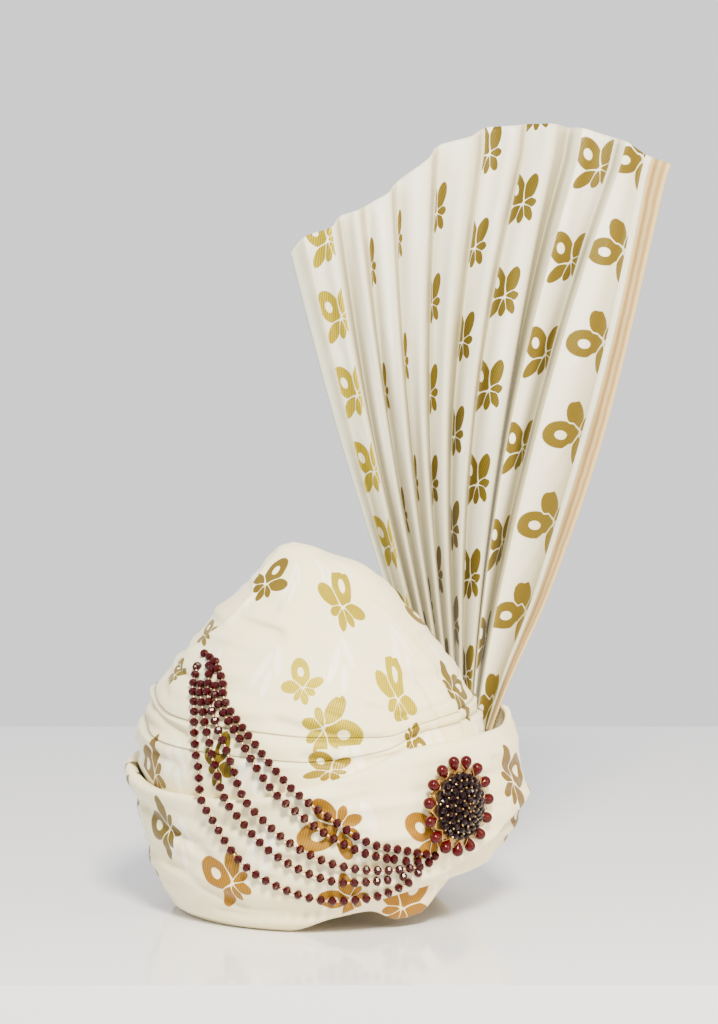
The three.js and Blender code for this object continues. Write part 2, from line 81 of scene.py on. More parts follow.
# The upper edges of the crown's laps, and how sharp the laps are on each side
LAPS = table("turn low middle high sharp", all_round([
    (-180, 130, 150, 171, 1), (-90, 126, 146, 168, 1.15), (-55, 116, 133, 156, 1.1),
    (-20, 112, 128, 149, 0.75), (0, 110, 125, 145, 0.6), (24, 116, 124, 134, 0.6),
    (42, 126, 131, 137, 0.8), (90, 130, 140, 156, 1),
]))
LAP_STEPS = (("low", 2.4), ("middle", 2.4), ("high", 1.8))
# The cuff: its edges, how far its lip, belly and foot stand off the crown, and the lip's slack
CUFF = table("turn bottom top lip belly foot slack", all_round([
    (-180, 3, 112, 9, 11, 5, 0), (-135, 3, 103, 11, 11, 5, 0), (-90, 4, 93, 13, 10.5, 4, 3),
    (-54, 4, 84, 11, 11, 5, 1), (-27, 4, 84, 9, 12, 5, 0), (-7, 5, 91, 8, 12, 6, 0),
    (5, 12, 97, 8, 12, 6, 0), (19, 21, 106, 8, 12, 7, 0), (32, 26, 115, 9, 12, 8, 0),
    (54, 31, 118, 12, 14, 8, 0), (88, 33, 119, 19, 22.5, 9, 11), (106, 27, 126, 26, 22, 9, 20),
    (122, 18, 127, 24, 20, 8, 18), (155, 4, 119, 10, 12, 6, 0),
]))
CUFF_OUTSIDE = table("up lip belly foot", [
    (0.06, 0, 0, 1), (0.22, 0, 0.75, 0.25), (0.45, 0, 1, 0), (0.7, 0.45, 0.55, 0), (0.93, 1, 0, 0),
])
CUFF_GAP = 0.7
LIP_RISE = 2.5


def smooth_curve(keys, values, where):
    """Reads values at keys by a smooth curve that never overshoots between them."""
    keys = np.asarray(keys, float)
    where = np.asarray(where, float)
    values = np.asarray(values, float).reshape(len(keys), -1)
    flat = np.clip(where.ravel(), keys[0], keys[-1])
    width = np.diff(keys)[:, None]
    rise = np.diff(values, axis=0) / width
    same = rise[:-1] * rise[1:] > 0
    before = 2 * width[1:] + width[:-1]
    after = width[1:] + 2 * width[:-1]
    lower = np.where(same, rise[:-1], 1)
    upper = np.where(same, rise[1:], 1)
    inner = np.where(same, (before + after) / (before / lower + after / upper), 0)
    slope = np.vstack([rise[:1], inner, rise[-1:]])
    row = np.clip(np.searchsorted(keys, flat, side="right") - 1, 0, len(keys) - 2)
    each = np.arange(flat.size) if values.shape[1] > 1 else 0
    span = width[row, 0]
    t = (flat - keys[row]) / span
    start = values[row, each] * (1 + 2 * t) + slope[row, each] * span * t
    end = values[row + 1, each] * (3 - 2 * t) + slope[row + 1, each] * span * (t - 1)
    return (start * (1 - t) ** 2 + end * t * t).reshape(where.shape)


def read(rows, column, where):
    """Reads a table's column where its first column has a value."""
    return smooth_curve(next(iter(rows.values())), rows[column], where)


def mix(start, end, share):
    return start + (end - start) * share


def ease(share):
    """A smooth step from 0 to 1."""
    share = np.clip(share, 0, 1)
    return share * share * (3 - 2 * share)


def crown_section(height):
    """The middle and half sizes of the crown's oval section at a height."""
    sides = ("left", "right", "front", "back")
    left, right, front, back = (read(CROWN_LEVELS, side, height) for side in sides)
    return (left + right) / 2, (front + back) / 2, (right - left) / 2, (back - front) / 2


def crown_point(turn, height, push=0.0):
    """A point on the crown's form, pushed out from it or, with a push below 0, into it."""
    x, y, wide, deep = crown_section(height)
    angle = np.radians(turn)
    return np.stack([
        x + (wide + push) * np.sin(angle), y - (deep + push) * np.cos(angle), height + 0 * angle,
    ], -1)


def cuff_push(turn, up):
    """How far the cuff's outside stands off the crown at a share of its height."""
    sizes = [read(CUFF, name, turn) for name in ("lip", "belly", "foot")]
    mixes = [CUFF_OUTSIDE[name] for name in ("lip", "belly", "foot")]
    rows = sum(part[:, None] * size.ravel() for part, size in zip(mixes, sizes))
    return smooth_curve(CUFF_OUTSIDE["up"], rows, up)


def cuff_relief(turn, height):
    turn, height = np.broadcast_arrays(np.asarray(turn, float), np.asarray(height, float))
    bottom, top = read(CUFF, "bottom", turn), read(CUFF, "top", turn)
    up = (height - bottom) / (top - bottom)
    return np.where((up < 0) | (up > 1), 0, cuff_push(turn, up))


def lap_relief(turn, height):
    """The laps' saw-tooth: each lap leans out to the step at its upper edge."""
    turn, height = np.broadcast_arrays(np.asarray(turn, float), np.asarray(height, float))
    lower = read(CUFF, "top", turn)
    relief = np.zeros(turn.shape)
    for edge, step in LAP_STEPS:
        upper = read(LAPS, edge, turn)
        inside = (height > lower) & (height <= upper)
        relief = np.where(inside, step * (height - lower) / (upper - lower), relief)
        lower = upper
    return relief


def relief_over_crown(turn, height):
    return np.maximum(lap_relief(turn, height), cuff_relief(turn, height))


# Soft goods

# Folds pressed into the cloth: a ledge is raised on the left of its route, a crease is sunk.
# Each route is a list of turns and heights.
CROWN_FOLDS = (
    ("ledge", 2.6, 26, (
        (-66, 233), (-60, 224), (-55, 213), (-51.3, 198), (-60, 187), (-70, 176), (-84, 168),
    )),
    ("crease", 1.3, 4.0, ((-52, 197), (-40, 194), (-27.7, 191), (-11.9, 185))),
    ("crease", 0.8, 3.0, ((-50, 205), (-36, 205), (-20, 202))),
    ("ledge", 2.2, 22, ((59, 112), (60, 143), (57, 172), (50, 196), (38, 214))),
    ("crease", 1.0, 3.5, ((-16, 138), (-2, 131), (14, 125), (30, 122))),
    ("crease", 0.9, 3.0, ((-6, 116), (10, 110), (28, 114), (40, 122))),
    ("crease", 0.7, 2.6, ((10, 152), (24, 142), (38, 134))),
    ("crease", 0.8, 3.0, ((44, 170), (48, 150), (50, 130))),
    ("crease", 1.1, 2.6, ((-82, 139), (-66, 134), (-52, 127), (-42, 121))),
    ("crease", 0.9, 2.4, ((-88, 118), (-70, 114), (-56, 108), (-44, 103))),
    ("crease", 0.9, 2.6, ((-92, 158), (-76, 153), (-60, 146))),
    ("crease", 1.0, 4.0, ((-150, 190), (-120, 176), (-95, 170))),
    ("crease", 1.0, 4.0, ((110, 190), (140, 178), (175, 182))),
    ("crease", 1.0, 3.0, ((100, 146), (130, 140), (165, 138))),
)
BAND_FOLDS = (
    ("ledge", 3.0, 24, ((27, 25), (38, 31.5), (47, 38.6), (59.2, 51.9), (70, 64), (84, 76), (96, 84))),
    ("crease", 1.3, 5.0, ((-78, 74), (-62, 66), (-46, 57), (-34, 46))),
    ("crease", 1.0, 4.0, ((-66, 40), (-50, 34), (-36, 24), (-24, 15))),
    ("crease", 0.9, 3.0, ((-44, 15), (-28, 10.5), (-10, 11), (4, 18))),
    ("crease", 0.8, 3.0, ((-40, 22), (-24, 17), (-6, 17), (8, 24))),
    ("crease", 0.9, 4.5, ((-30, 76), (-12, 78), (6, 84), (22, 93))),
    ("crease", 0.8, 4.0, ((62, 106), (72, 100), (82, 90))),
    ("crease", 1.0, 3.5, ((70, 46), (84, 50), (98, 60))),
    ("crease", 1.0, 5.0, ((-160, 80), (-130, 70), (-104, 62))),
    ("crease", 1.0, 5.0, ((128, 60), (150, 66), (175, 60))),
    ("crease", 0.9, 4.0, ((-175, 30), (-145, 34), (-115, 28))),
)
FOLD_ROUND = 108
FOLD_ENDS = 0.16
LEDGE_EDGE = 1.5
LEDGE_STRENGTH = 1.6
CREASE_STRENGTH = 2.5
# How far a ripple's slant and its two slow drifts carry it up and down as it goes round
RIPPLE_SWING = 40
RIPPLE_DRIFT = (5, 3)
# Long shallow folds that run round with the winding: length between them, slant, height, start
RIPPLES = ((17, 0.06, 0.55, 0.4), (11, -0.09, 0.3, 2.1), (27, 0.12, 0.8, 4.0), (7.5, 0.05, 0.14, 1.2))


def fold_push(folds, turn, height):
    """How far pressed folds move the cloth out or in."""
    across, up = np.radians(turn) * FOLD_ROUND, height
    total = np.zeros(np.broadcast(across, up).shape)
    for kind, depth, wide, route in folds:
        points = np.array(route, float)
        points[:, 0] = np.radians(points[:, 0]) * FOLD_ROUND
        nearest = np.full(total.shape, np.inf)
        side = np.zeros(total.shape)
        along = np.zeros(total.shape)
        last = len(points) - 1
        for i in range(last):
            start, step = points[i], points[i + 1] - points[i]
            t = ((across - start[0]) * step[0] + (up - start[1]) * step[1]) / (step @ step)
            t = np.clip(t, 0, 1)
            aside, above = across - start[0] - t * step[0], up - start[1] - t * step[1]
            away = np.hypot(aside, above)
            closer = away < nearest
            nearest = np.where(closer, away, nearest)
            side = np.where(closer, np.sign(step[0] * above - step[1] * aside), side)
            along = np.where(closer, (i + t) / last, along)
        fade = ease(along / FOLD_ENDS) * ease((1 - along) / FOLD_ENDS)
        if kind == "ledge":
            signed = nearest * side
            raised = ease(0.5 + signed / LEDGE_EDGE) * np.exp(-np.maximum(signed, 0) / wide)
            total += LEDGE_STRENGTH * depth * raised * fade
        else:
            total -= CREASE_STRENGTH * depth * np.exp(-(nearest / wide) ** 2) * fade
    return total


def ripple_push(turn, height):
    """Soft ripples that run round the cloth and meet where they come round again."""
    total = 0
    for length, slant, high, start in RIPPLES:
        drift = sum(
            far * np.sin(2 * np.radians(turn) + (i + 1) * start) for i, far in enumerate(RIPPLE_DRIFT)
        )
        tilt = slant * RIPPLE_SWING * np.sin(np.radians(turn))
        total = total + high * np.sin(2 * np.pi * (height + tilt + drift) / length)
    return total


def cloth_grid(columns, rows):
    """A flat grid of faces, with each vertex's place in it as two shares from 0 to 1."""
    mesh = bmesh.new()
    mesh.loops.layers.uv.new("weave")
    bmesh.ops.create_grid(mesh, x_segments=columns, y_segments=rows, size=0.5, calc_uvs=True)
    flat = np.array([v.co for v in mesh.verts]) + 0.5
    return mesh, np.rint(flat[:, 0] * columns).astype(int), np.rint(flat[:, 1] * rows).astype(int)


def lay_cloth(mesh, points, weave):
    """Moves a grid's vertices to points in the crown's frame, and its UV map to a weave in millimetres."""
    place = (points + CROWN_AXIS) * MM
    layer = mesh.loops.layers.uv.active
    for vertex, point, uv in zip(mesh.verts, place, weave):
        vertex.co = point
        for loop in vertex.link_loops:
            loop[layer].uv = uv


def close_seams(mesh):
    bmesh.ops.remove_doubles(mesh, verts=mesh.verts, dist=0.02 * MM)
    bmesh.ops.recalc_face_normals(mesh, faces=mesh.faces)


def make_piece(name, mesh, materials, replaced=(), smooth=True):
    """Turns a finished bmesh in the part's frame into a piece that rides on the turban."""
    data = bpy.data.meshes.new(name)
    mesh.to_mesh(data)
    mesh.free()
    data.polygons.foreach_set("use_smooth", [smooth] * len(data.polygons))
    for material in materials:
        data.materials.append(material)
    piece = bpy.data.objects.new(name, data)
    bpy.context.scene.collection.objects.link(piece)
    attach(piece, "root")
    if replaced:
        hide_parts(*replaced)
    return piece


FLOWER_FAR = 99.0
FLOWER_REACH = 30.0
FLOWER_DEPTH = 14.0


def corner_arrays(data):
    """A mesh's corner vertices, the face of each corner, and the faces' middles in crown millimetres."""
    points = np.empty(len(data.vertices) * 3)
    data.vertices.foreach_get("co", points)
    points = points.reshape(-1, 3) / MM - CROWN_AXIS
    corner_vertex = np.empty(len(data.loops), int)
    data.loops.foreach_get("vertex_index", corner_vertex)
    totals = np.empty(len(data.polygons), int)
    data.polygons.foreach_get("loop_total", totals)
    middles = np.empty(len(data.polygons) * 3)
    data.polygons.foreach_get("center", middles)
    corner_face = np.repeat(np.arange(len(totals)), totals)
    return points, corner_vertex, corner_face, middles.reshape(-1, 3) / MM - CROWN_AXIS


def set_corner_vectors(data, name, vectors):
    layer = data.attributes.new(name, "FLOAT_VECTOR", "CORNER")
    layer.data.foreach_set("vector", vectors.astype(np.float32).ravel())


def paint_flowers(piece, places):
    """Gives each corner its place in millimetres on the nearest woven flower, and the painted light and
    shade on that flower's gilt.
    """
    points, corner_vertex, corner_face, middles = corner_arrays(piece.data)
    centres = np.array([place["centre"] for place in places])
    away = np.linalg.norm(middles[:, None, :] - centres[None], axis=2)
    nearest = away.argmin(1)
    aside = np.array([place["aside"] for place in places])[nearest][corner_face]
    upward = np.array([place["upward"] for place in places])[nearest][corner_face]
    outward = np.cross(aside, upward)
    outward /= np.linalg.norm(outward, axis=1)[:, None]
    gilt_painted_light = np.array([place["gilt_painted_light"] for place in places])[nearest][corner_face]
    offset = points[corner_vertex] - centres[nearest][corner_face]
    depth = np.abs(((middles - centres[nearest])[corner_face] * outward).sum(1))
    shown = (away.min(1)[corner_face] < FLOWER_REACH) & (depth < FLOWER_DEPTH)
    vectors = np.stack([(offset * aside).sum(1), (offset * upward).sum(1), gilt_painted_light], 1)
    vectors[~shown, :2] = FLOWER_FAR
    set_corner_vectors(piece.data, "flower", vectors)


def flower_places(rows, surface):
    """Turns a table of flowers into places on a surface given as a function of turn and height."""
    places = []
    for turn, height, spin, flip, gilt_painted_light, wide, tall in rows:
        centre = surface(turn, height)
        aside = surface(turn + 3, height) - surface(turn - 3, height)
        aside /= np.linalg.norm(aside)
        upward = surface(turn, height + 4) - surface(turn, height - 4)
        upward -= aside * (upward @ aside)
        upward /= np.linalg.norm(upward) * tall
        aside /= wide
        angle = math.radians(spin)
        along = aside * math.cos(angle) + upward * math.sin(angle)
        over = upward * math.cos(angle) - aside * math.sin(angle)
        places.append({"centre": centre, "aside": along * flip, "upward": over, "gilt_painted_light": gilt_painted_light})
    return places


# Woven flowers: turn, height, spin in degrees, -1 where the flower is turned over, painted light and
# shade on the flower's gilt, and how much the cloth's folds leave of its width and height
CROWN_FLOWERS = (
    (-43, 216, -60, 1, 0.3, 0.68, 0.9), (18, 203.5, 25, -1, 0.85, 0.66, 1.4),
    (-3, 156, 60, -1, 1.0, 0.62, 0.8),
    (4.5, 132, -60, -1, 0.9, 0.95, 1.0), (33, 147, 25, -1, 1.0, 0.6, 1.35),
    (35, 122, -70, -1, 0.5, 0.4, 0.6),
    (6, 106, -20, 1, 0.65, 0.8, 0.5), (66, 147, -30, -1, 0.4, 0.8, 1.0), (-66, 182, 10, 1, 0.5, 0.8, 0.5),
    (-67, 158, -30, 1, 0.45, 0.5, 0.5), (-62, 95, 20, 1, 0.25, 0.8, 1.1), (-31, 106, -70, 1, 0.3, 0.5, 0.9),
    (-100, 150, 40, 1, 0.45, 1.0, 1.0), (30, 14, -80, 1, 0.12, 1.0, 1.0),
)
CROWN_BACK_ROWS = ((192, 30, 96, 0), (160, 22, 96, 25), (132, 26, 92, 10))
BAND_FLOWERS = (
    (-56, 62, 40, 1, 0.3, 0.85, 1.0), (-29, 33, 22, 1, 0.12, 0.95, 1.0), (6, 72, 68, 1, 0.15, 1.05, 1.0),
    (9.5, 25, 50, 1, 0.12, 0.8, 0.8), (36, 62, 10, 1, 0.1, 0.9, 0.9), (73, 88, -20, -1, 0.25, 1.0, 1.1),
    (86, 60, 30, 1, 0.25, 1.0, 1.0), (-84, 72, -10, 1, 0.35, 1.0, 1.0), (-82, 28, 30, 1, 0.3, 1.0, 1.0),
)
BAND_BACK_ROWS = ((86, 36, 112, 0), (50, 30, 110, 18), (18, 36, 130, 0))


def back_flowers(rows, step, gilt_painted_light):
    """Flowers in staggered rows round the side that the picture doesn't show."""
    made = []
    for height, spin, first, shift in rows:
        turn = first + shift
        while turn < 360 - first - 25:
            made.append((turn, height, spin, 1, gilt_painted_light, 1.0, 1.0))
            turn += step
    return made


# The crown: rows of faces from the peak down the laps to the rim, then up the hollow
CROWN_COLUMNS = 320
DOME_ROWS = 84
LAP_SHARES = (0.0, 0.06, 0.14, 0.24, 0.36, 0.48, 0.6, 0.71, 0.81, 0.88, 0.93, 0.97, 0.99, 1.0)
LAP_ROUND_FROM = 0.93
LAP_LEDGE = 1.1
LAP_TUCK = 0.9
HIDDEN_ROWS = 10
HOLLOW_SHARES = tuple(i / 20 for i in range(21))


def crown_surface(turn, height):
    """The crown's finished outside above the cuff, without its laps' edges."""
    push = lap_relief(turn, height) + fold_push(CROWN_FOLDS, turn, height)
    return crown_point(turn, height, push)


def crown_cloth(material):
    turn = np.linspace(-180, 180, CROWN_COLUMNS + 1)
    top, bottom, rim = read(CUFF, "top", turn), read(CUFF, "bottom", turn), read(RIM, "lift", turn)
    edges = {name: read(LAPS, name, turn) for name, _ in LAP_STEPS}
    sharp = read(LAPS, "sharp", turn)
    heights, pushes = [], []

    def row(height, push):
        heights.append(height + 0 * turn)
        pushes.append(push + 0 * turn)

    first = edges["high"] + LAP_LEDGE
    for i in range(DOME_ROWS):
        row(mix(CROWN_TOP, first, (i / DOME_ROWS) ** 1.35), 0)
    lowers = [top - 10, edges["low"] + LAP_LEDGE, edges["middle"] + LAP_LEDGE]
    for (name, step), lower in reversed(list(zip(LAP_STEPS, lowers))):
        row(edges[name] + LAP_LEDGE, -LAP_TUCK * sharp)
        for share in reversed(LAP_SHARES):
            rounded = 0.45 * ease((share - LAP_ROUND_FROM) / (1 - LAP_ROUND_FROM))
            row(mix(lower, edges[name], share), step * sharp * (share ** 0.9 - rounded))
    for i in range(1, HIDDEN_ROWS + 1):
        row(mix(top - 10, bottom + 6, i / HIDDEN_ROWS), 0)
    for share in (0.3, 0.6, 0.8):
        row(mix(bottom + 6, rim + 4, share), 0)
    row(rim + 3, 0)
    row(rim + 0.9, -1.2)
    row(rim + 0.0, -3.4)
    heights, pushes = np.array(heights), np.array(pushes)
    wide = turn[None] + 0 * heights
    shown = ease((heights - top + 14) / 8) * ease((CROWN_TOP - heights) / 14)
    pushes += shown * (fold_push(CROWN_FOLDS, wide, heights) + ripple_push(wide, heights) * sharp)
    below = ease((bottom + 10 - heights) / 8) * ease((heights - rim) / 8)
    pushes += below * (2.2 + 1.6 * np.sin(np.radians(wide * 9)))
    outside = crown_point(wide, heights, pushes)
    hollow_top = CROWN_TOP - 2 * CROWN_WALL_TOP
    inside = []
    for share in HOLLOW_SHARES:
        height = mix(rim, hollow_top, share)
        wall = mix(CROWN_WALL, CROWN_WALL_TOP, share)
        ring = crown_point(turn, height + share * CROWN_WALL_TOP, -wall * (1 if share < 1 else 0))
        if share == 1:
            ring = np.repeat(crown_point(0.0, CROWN_TOP)[None], len(turn), 0)
        ring[:, 2] = height + (0.9 if share == 0 else 0)
        inside.append(ring)
    points = np.concatenate([outside, np.array(inside)])
    fall = np.linalg.norm(np.diff(points, axis=0), axis=2)
    down = np.vstack([np.zeros((1, len(turn))), np.cumsum(fall, axis=0)])
    mesh, column, row_index = cloth_grid(CROWN_COLUMNS, len(points) - 1)
    weave = np.stack([np.radians(turn[column]) * FOLD_ROUND, -down[row_index, column]], 1)
    lay_cloth(mesh, points[row_index, column], weave)
    close_seams(mesh)
    piece = make_piece("crown_cloth", mesh, [material], ["crown"])
    rows = list(CROWN_FLOWERS) + back_flowers(CROWN_BACK_ROWS, 47, 0.45)
    paint_flowers(piece, flower_places(rows, crown_surface))
    return piece


# The cuff: a closed section, rolled over at its lip and its foot, carried all the way round
BAND_COLUMNS = 320
BAND_OUT_SHARES = np.linspace(0.93, 0.06, 58)
LIP_STEPS = 12


def band_surface(turn, height):
    push = cuff_relief(turn, height) + fold_push(BAND_FOLDS, turn, height)
    return crown_point(turn, height, push)


def band_cloth(material):
    turn = np.linspace(-180, 180, BAND_COLUMNS + 1)
    cuff = {name: read(CUFF, name, turn) for name in ("bottom", "top", "lip", "belly", "foot", "slack")}
    bottom, top = cuff["bottom"], cuff["top"]
    heights, pushes = [], []
    inner_top = CUFF_GAP + cuff["slack"]
    middle, half = (inner_top + cuff["lip"]) / 2, (cuff["lip"] - inner_top) / 2
    shoulder = mix(bottom, top, BAND_OUT_SHARES[0])
    for i in range(LIP_STEPS):
        angle = math.pi * (1 - i / LIP_STEPS)
        rise = np.where(angle > math.pi / 2, LIP_RISE, top + LIP_RISE - shoulder)
        base = np.where(angle > math.pi / 2, top, shoulder)
        heights.append(base + rise * math.sin(angle))
        pushes.append(middle + half * math.cos(angle))
    for share in BAND_OUT_SHARES:
        heights.append(mix(bottom, top, share))
        pushes.append(cuff_push(turn, share + 0 * turn))
    for share, out in ((0.035, 0.93), (0.012, 0.78), (0.0, 0.5), (0.006, 0.25)):
        heights.append(mix(bottom, top, share))
        pushes.append(mix(CUFF_GAP, cuff["foot"], out))
    for share in (0.03, 0.18, 0.34, 0.5, 0.66, 0.82, 0.95):
        heights.append(mix(bottom, top, share))
        pushes.append(CUFF_GAP + cuff["slack"] * ease(share))
    heights.append(heights[0])
    pushes.append(pushes[0])
    heights, pushes = np.array(heights), np.array(pushes)
    wide = turn[None] + 0 * heights
    shown = np.zeros(len(heights))
    shown[LIP_STEPS // 2:LIP_STEPS + len(BAND_OUT_SHARES)] = 1
    shown[LIP_STEPS // 2] = 0.5
    up = (heights - bottom) / (top - bottom)
    soft = shown[:, None] * ease(up / 0.12)
    pushes += soft * (fold_push(BAND_FOLDS, wide, heights) + 0.9 * ripple_push(wide, heights + 31))
    points = crown_point(wide, heights, pushes)
    fall = np.linalg.norm(np.diff(points, axis=0), axis=2)
    down = np.vstack([np.zeros((1, len(turn))), np.cumsum(fall, axis=0)])
    mesh, column, row_index = cloth_grid(BAND_COLUMNS, len(points) - 1)
    weave = np.stack([np.radians(turn[column]) * FOLD_ROUND, -down[row_index, column]], 1)
    lay_cloth(mesh, points[row_index, column], weave)
    close_seams(mesh)
    piece = make_piece("brow_band_cloth", mesh, [material], ["brow_band"])
    rows = list(BAND_FLOWERS) + back_flowers(BAND_BACK_ROWS, 42, 0.3)
    paint_flowers(piece, flower_places(rows, band_surface))
    return piece


# The fan: folds from left to right, ridges and valleys in turn, by their angle from upright
# near the base, low down and at the top, and by how far they reach from the pivot
FAN_PIVOT = (93.0, 52.0)
FAN_FOLDS = (
    (-19, -18.5, -16.7, 398), (-17.4, -17.1, -15.2, 406), (-14.2, -14.1, -12.1, 407),
    (-13.8, -13.8, -11.5, 414),
    (-11.6, -11.6, -9.6, 415), (-11.4, -11.3, -9, 417), (-9.2, -9, -6.5, 424), (-9, -8.7, -5.9, 430),
    (-6.8, -6.4, -2.9, 445), (-6.5, -6.1, -2.1, 454), (-4, -3.5, 0.7, 459), (-3.2, -2.7, 1.8, 466),
    (-1, -0.3, 4.5, 468), (-0.6, 0.2, 5.2, 470), (3.4, 4.6, 7.6, 472), (3.9, 5, 8.8, 471),
    (4.4, 5.5, 9.8, 472), (6.8, 8.7, 13, 470), (7.1, 9, 13.5, 469), (14.6, 18.4, 15.6, 464),
    (16.6, 20.9, 17.7, 462),
)
FOLD_RADII = (64, 165, 450)
FAN_PROFILE = table("radius depth pleat cup", [
    (60, 26, 10, 0), (165, 50, 16, 6), (300, 66, 15, 14), (480, 82, 12, 24),
])
FAN_CUP_DEEPEST = 4
FAN_CUP_SPREAD = 20
FAN_BASE_RADIUS = 60
FAN_SEAT = 3.2
FAN_MITRE_MOST = 2.6
FAN_CLOTH = 1.1
FAN_ROWS = 96
FAN_ROUNDING = 0.26
FAN_INSIDE_SHARES = (0.36, 0.5, 0.64)
# Flowers on the fan's facets: facet, share across it, lowest radius, pitch, spin, squeeze and painted light
# and shade on the gilt
FAN_FLOWERS = (
    (1, 0.78, 190, 52.0, 0, 0.8, 0.9), (9, 0.1, 162, 61.5, 0, 0.6, 0.4), (11, 0.22, 192, 64, 0, 0.7, 0.34),
    (13, 0.42, 160, 64, 4, 0.8, 0.34), (16, 0.72, 183, 66, 6, 0.95, 0.34),
    (18, 0.94, 143, 63.5, 58, 1.1, 0.34),
    (5, 0.04, 205, 85, 0, 0.4, 0.45), (7, 0.02, 225, 83, 0, 0.4, 0.45),
)
# Painted shade: how far the cloth is painted into the shade of its own fold, by the share across a facet
BROAD_SHADE = table("share shade", [(0, 0.5), (0.16, 0.12), (0.6, 0.05), (0.82, 0.22), (1, 0.6)])
RETURN_SHADE = table("share shade", [(0, 0.6), (0.5, 0.85), (1, 0.95)])
RIGHT_SHADE = table("share shade", [(0, 0.35), (0.2, 0.16), (0.5, 0.3), (0.85, 0.62), (1, 0.8)])
# The painted shade is strongest at the fan's base and fades towards its top
SHADE_AT_BASE = 1.6
SHADE_LOST = 0.95
RIGHT_FACETS = (16, 18)
RETURN_FACETS = (2, 4, 6, 8, 10, 12, 14, 15, 17)


def fold_points(radius):
    """Points on the folds, for rows of distances from the pivot."""
    folds = np.array(FAN_FOLDS)
    angle = np.stack([smooth_curve(FOLD_RADII, folds[k, :3], radius[:, k]) for k in range(len(folds))], 1)
    depth, pleat, cup = (read(FAN_PROFILE, name, radius) for name in ("depth", "pleat", "cup"))
    spread = (angle - FAN_CUP_DEEPEST) / FAN_CUP_SPREAD
    valley = np.arange(len(folds)) % 2
    y = depth + pleat * valley - cup * spread * spread
    turned = np.radians(angle)
    return np.stack([
        FAN_PIVOT[0] + radius * np.sin(turned), y, FAN_PIVOT[1] + radius * np.cos(turned),
    ], -1)


def fold_starts():
    """How far from the pivot each fold comes clear of the crown, where it is seated."""
    radius = np.full(len(FAN_FOLDS), float(FAN_BASE_RADIUS))
    for _ in range(120):
        points = fold_points(radius[None])[0]
        x, y, wide, deep = crown_section(points[:, 2])
        aside, behind = (points[:, 0] - x) / wide, (points[:, 1] - FAN_MITRE_MOST - y) / deep
        clear = (np.hypot(aside, behind) - 1) * np.minimum(wide, deep)
        radius = np.where((clear >= FAN_SEAT) | (points[:, 2] > CROWN_TOP), radius, radius + 1)
    return radius


def fan_columns():
    """Places across the fan, in facets, with the share of a rounded fold that each one has."""
    places = []
    for k in range(len(FAN_FOLDS)):
        inner = 0 < k < len(FAN_FOLDS) - 1
        for share in ((-1, -0.5, 0, 0.5, 1) if inner else (0,)):
            places.append((k, share * FAN_ROUNDING, True))
        if k < len(FAN_FOLDS) - 1:
            places.extend((k, share, False) for share in FAN_INSIDE_SHARES)
    return places


def fan_cloth(material):
    starts = fold_starts()
    reach = np.array([row[3] for row in FAN_FOLDS], float)
    shares = np.linspace(0, 1, FAN_ROWS + 1)
    radius = starts[None] + (reach - starts)[None] * shares[:, None]
    corners = fold_points(radius)
    phase = np.arange(len(FAN_FOLDS)) * 2.4
    loose = ease((shares - 0.15) / 0.4)[:, None]
    corners[..., 0] += loose * 0.7 * np.sin(radius / 57 + phase)
    corners[..., 1] += loose * 1.1 * np.sin(radius / 43 + 1.7 * phase)
    places = fan_columns()
    points, across, along = [], [], []
    for k, share, rounded in places:
        here = corners[:, k]
        if rounded and 0 < k < len(FAN_FOLDS) - 1:
            before = mix(here, corners[:, k - 1], FAN_ROUNDING)
            after = mix(here, corners[:, k + 1], FAN_ROUNDING)
            t = 0.5 + share / FAN_ROUNDING / 2
            points.append((1 - t) ** 2 * before + 2 * t * (1 - t) * here + t * t * after)
        else:
            inside = mix(here, corners[:, min(k + 1, len(FAN_FOLDS) - 1)], share)
            belly = 4 * share * (1 - share) * np.sin(radius[:, k] / 66 + phase[k]) * 1.3 * loose[:, 0]
            inside[:, 1] += belly
            points.append(inside)
        across.append(k + share)
        low, high = min(k, len(FAN_FOLDS) - 2), min(k, len(FAN_FOLDS) - 2) + 1
        along.append(mix(radius[:, low], radius[:, high], across[-1] - low))
    points, along = np.array(points), np.array(along)
    across = np.array(across)
    mesh, column, row = cloth_grid(len(places) - 1, FAN_ROWS)
    steps = np.linalg.norm(np.diff(points[:, FAN_ROWS * 3 // 4], axis=0), axis=1)
    unrolled = np.concatenate([[0], np.cumsum(steps)])
    weave = np.stack([unrolled[column], along[column, row]], 1)
    lay_cloth(mesh, points[column, row], weave)
    bmesh.ops.recalc_face_normals(mesh, faces=mesh.faces)
    place = np.stack([across[column], along[column, row]], 1)
    widths = np.linalg.norm(np.diff(corners, axis=1), axis=2)
    vertex_place = np.column_stack([place, row])
    piece = make_piece("fan_cloth", mesh, [material], ["fan"])
    paint_fan(piece, vertex_place, widths)
    wall = piece.modifiers.new("cloth", "SOLIDIFY")
    wall.thickness = FAN_CLOTH * MM
    wall.offset = 0
    return piece


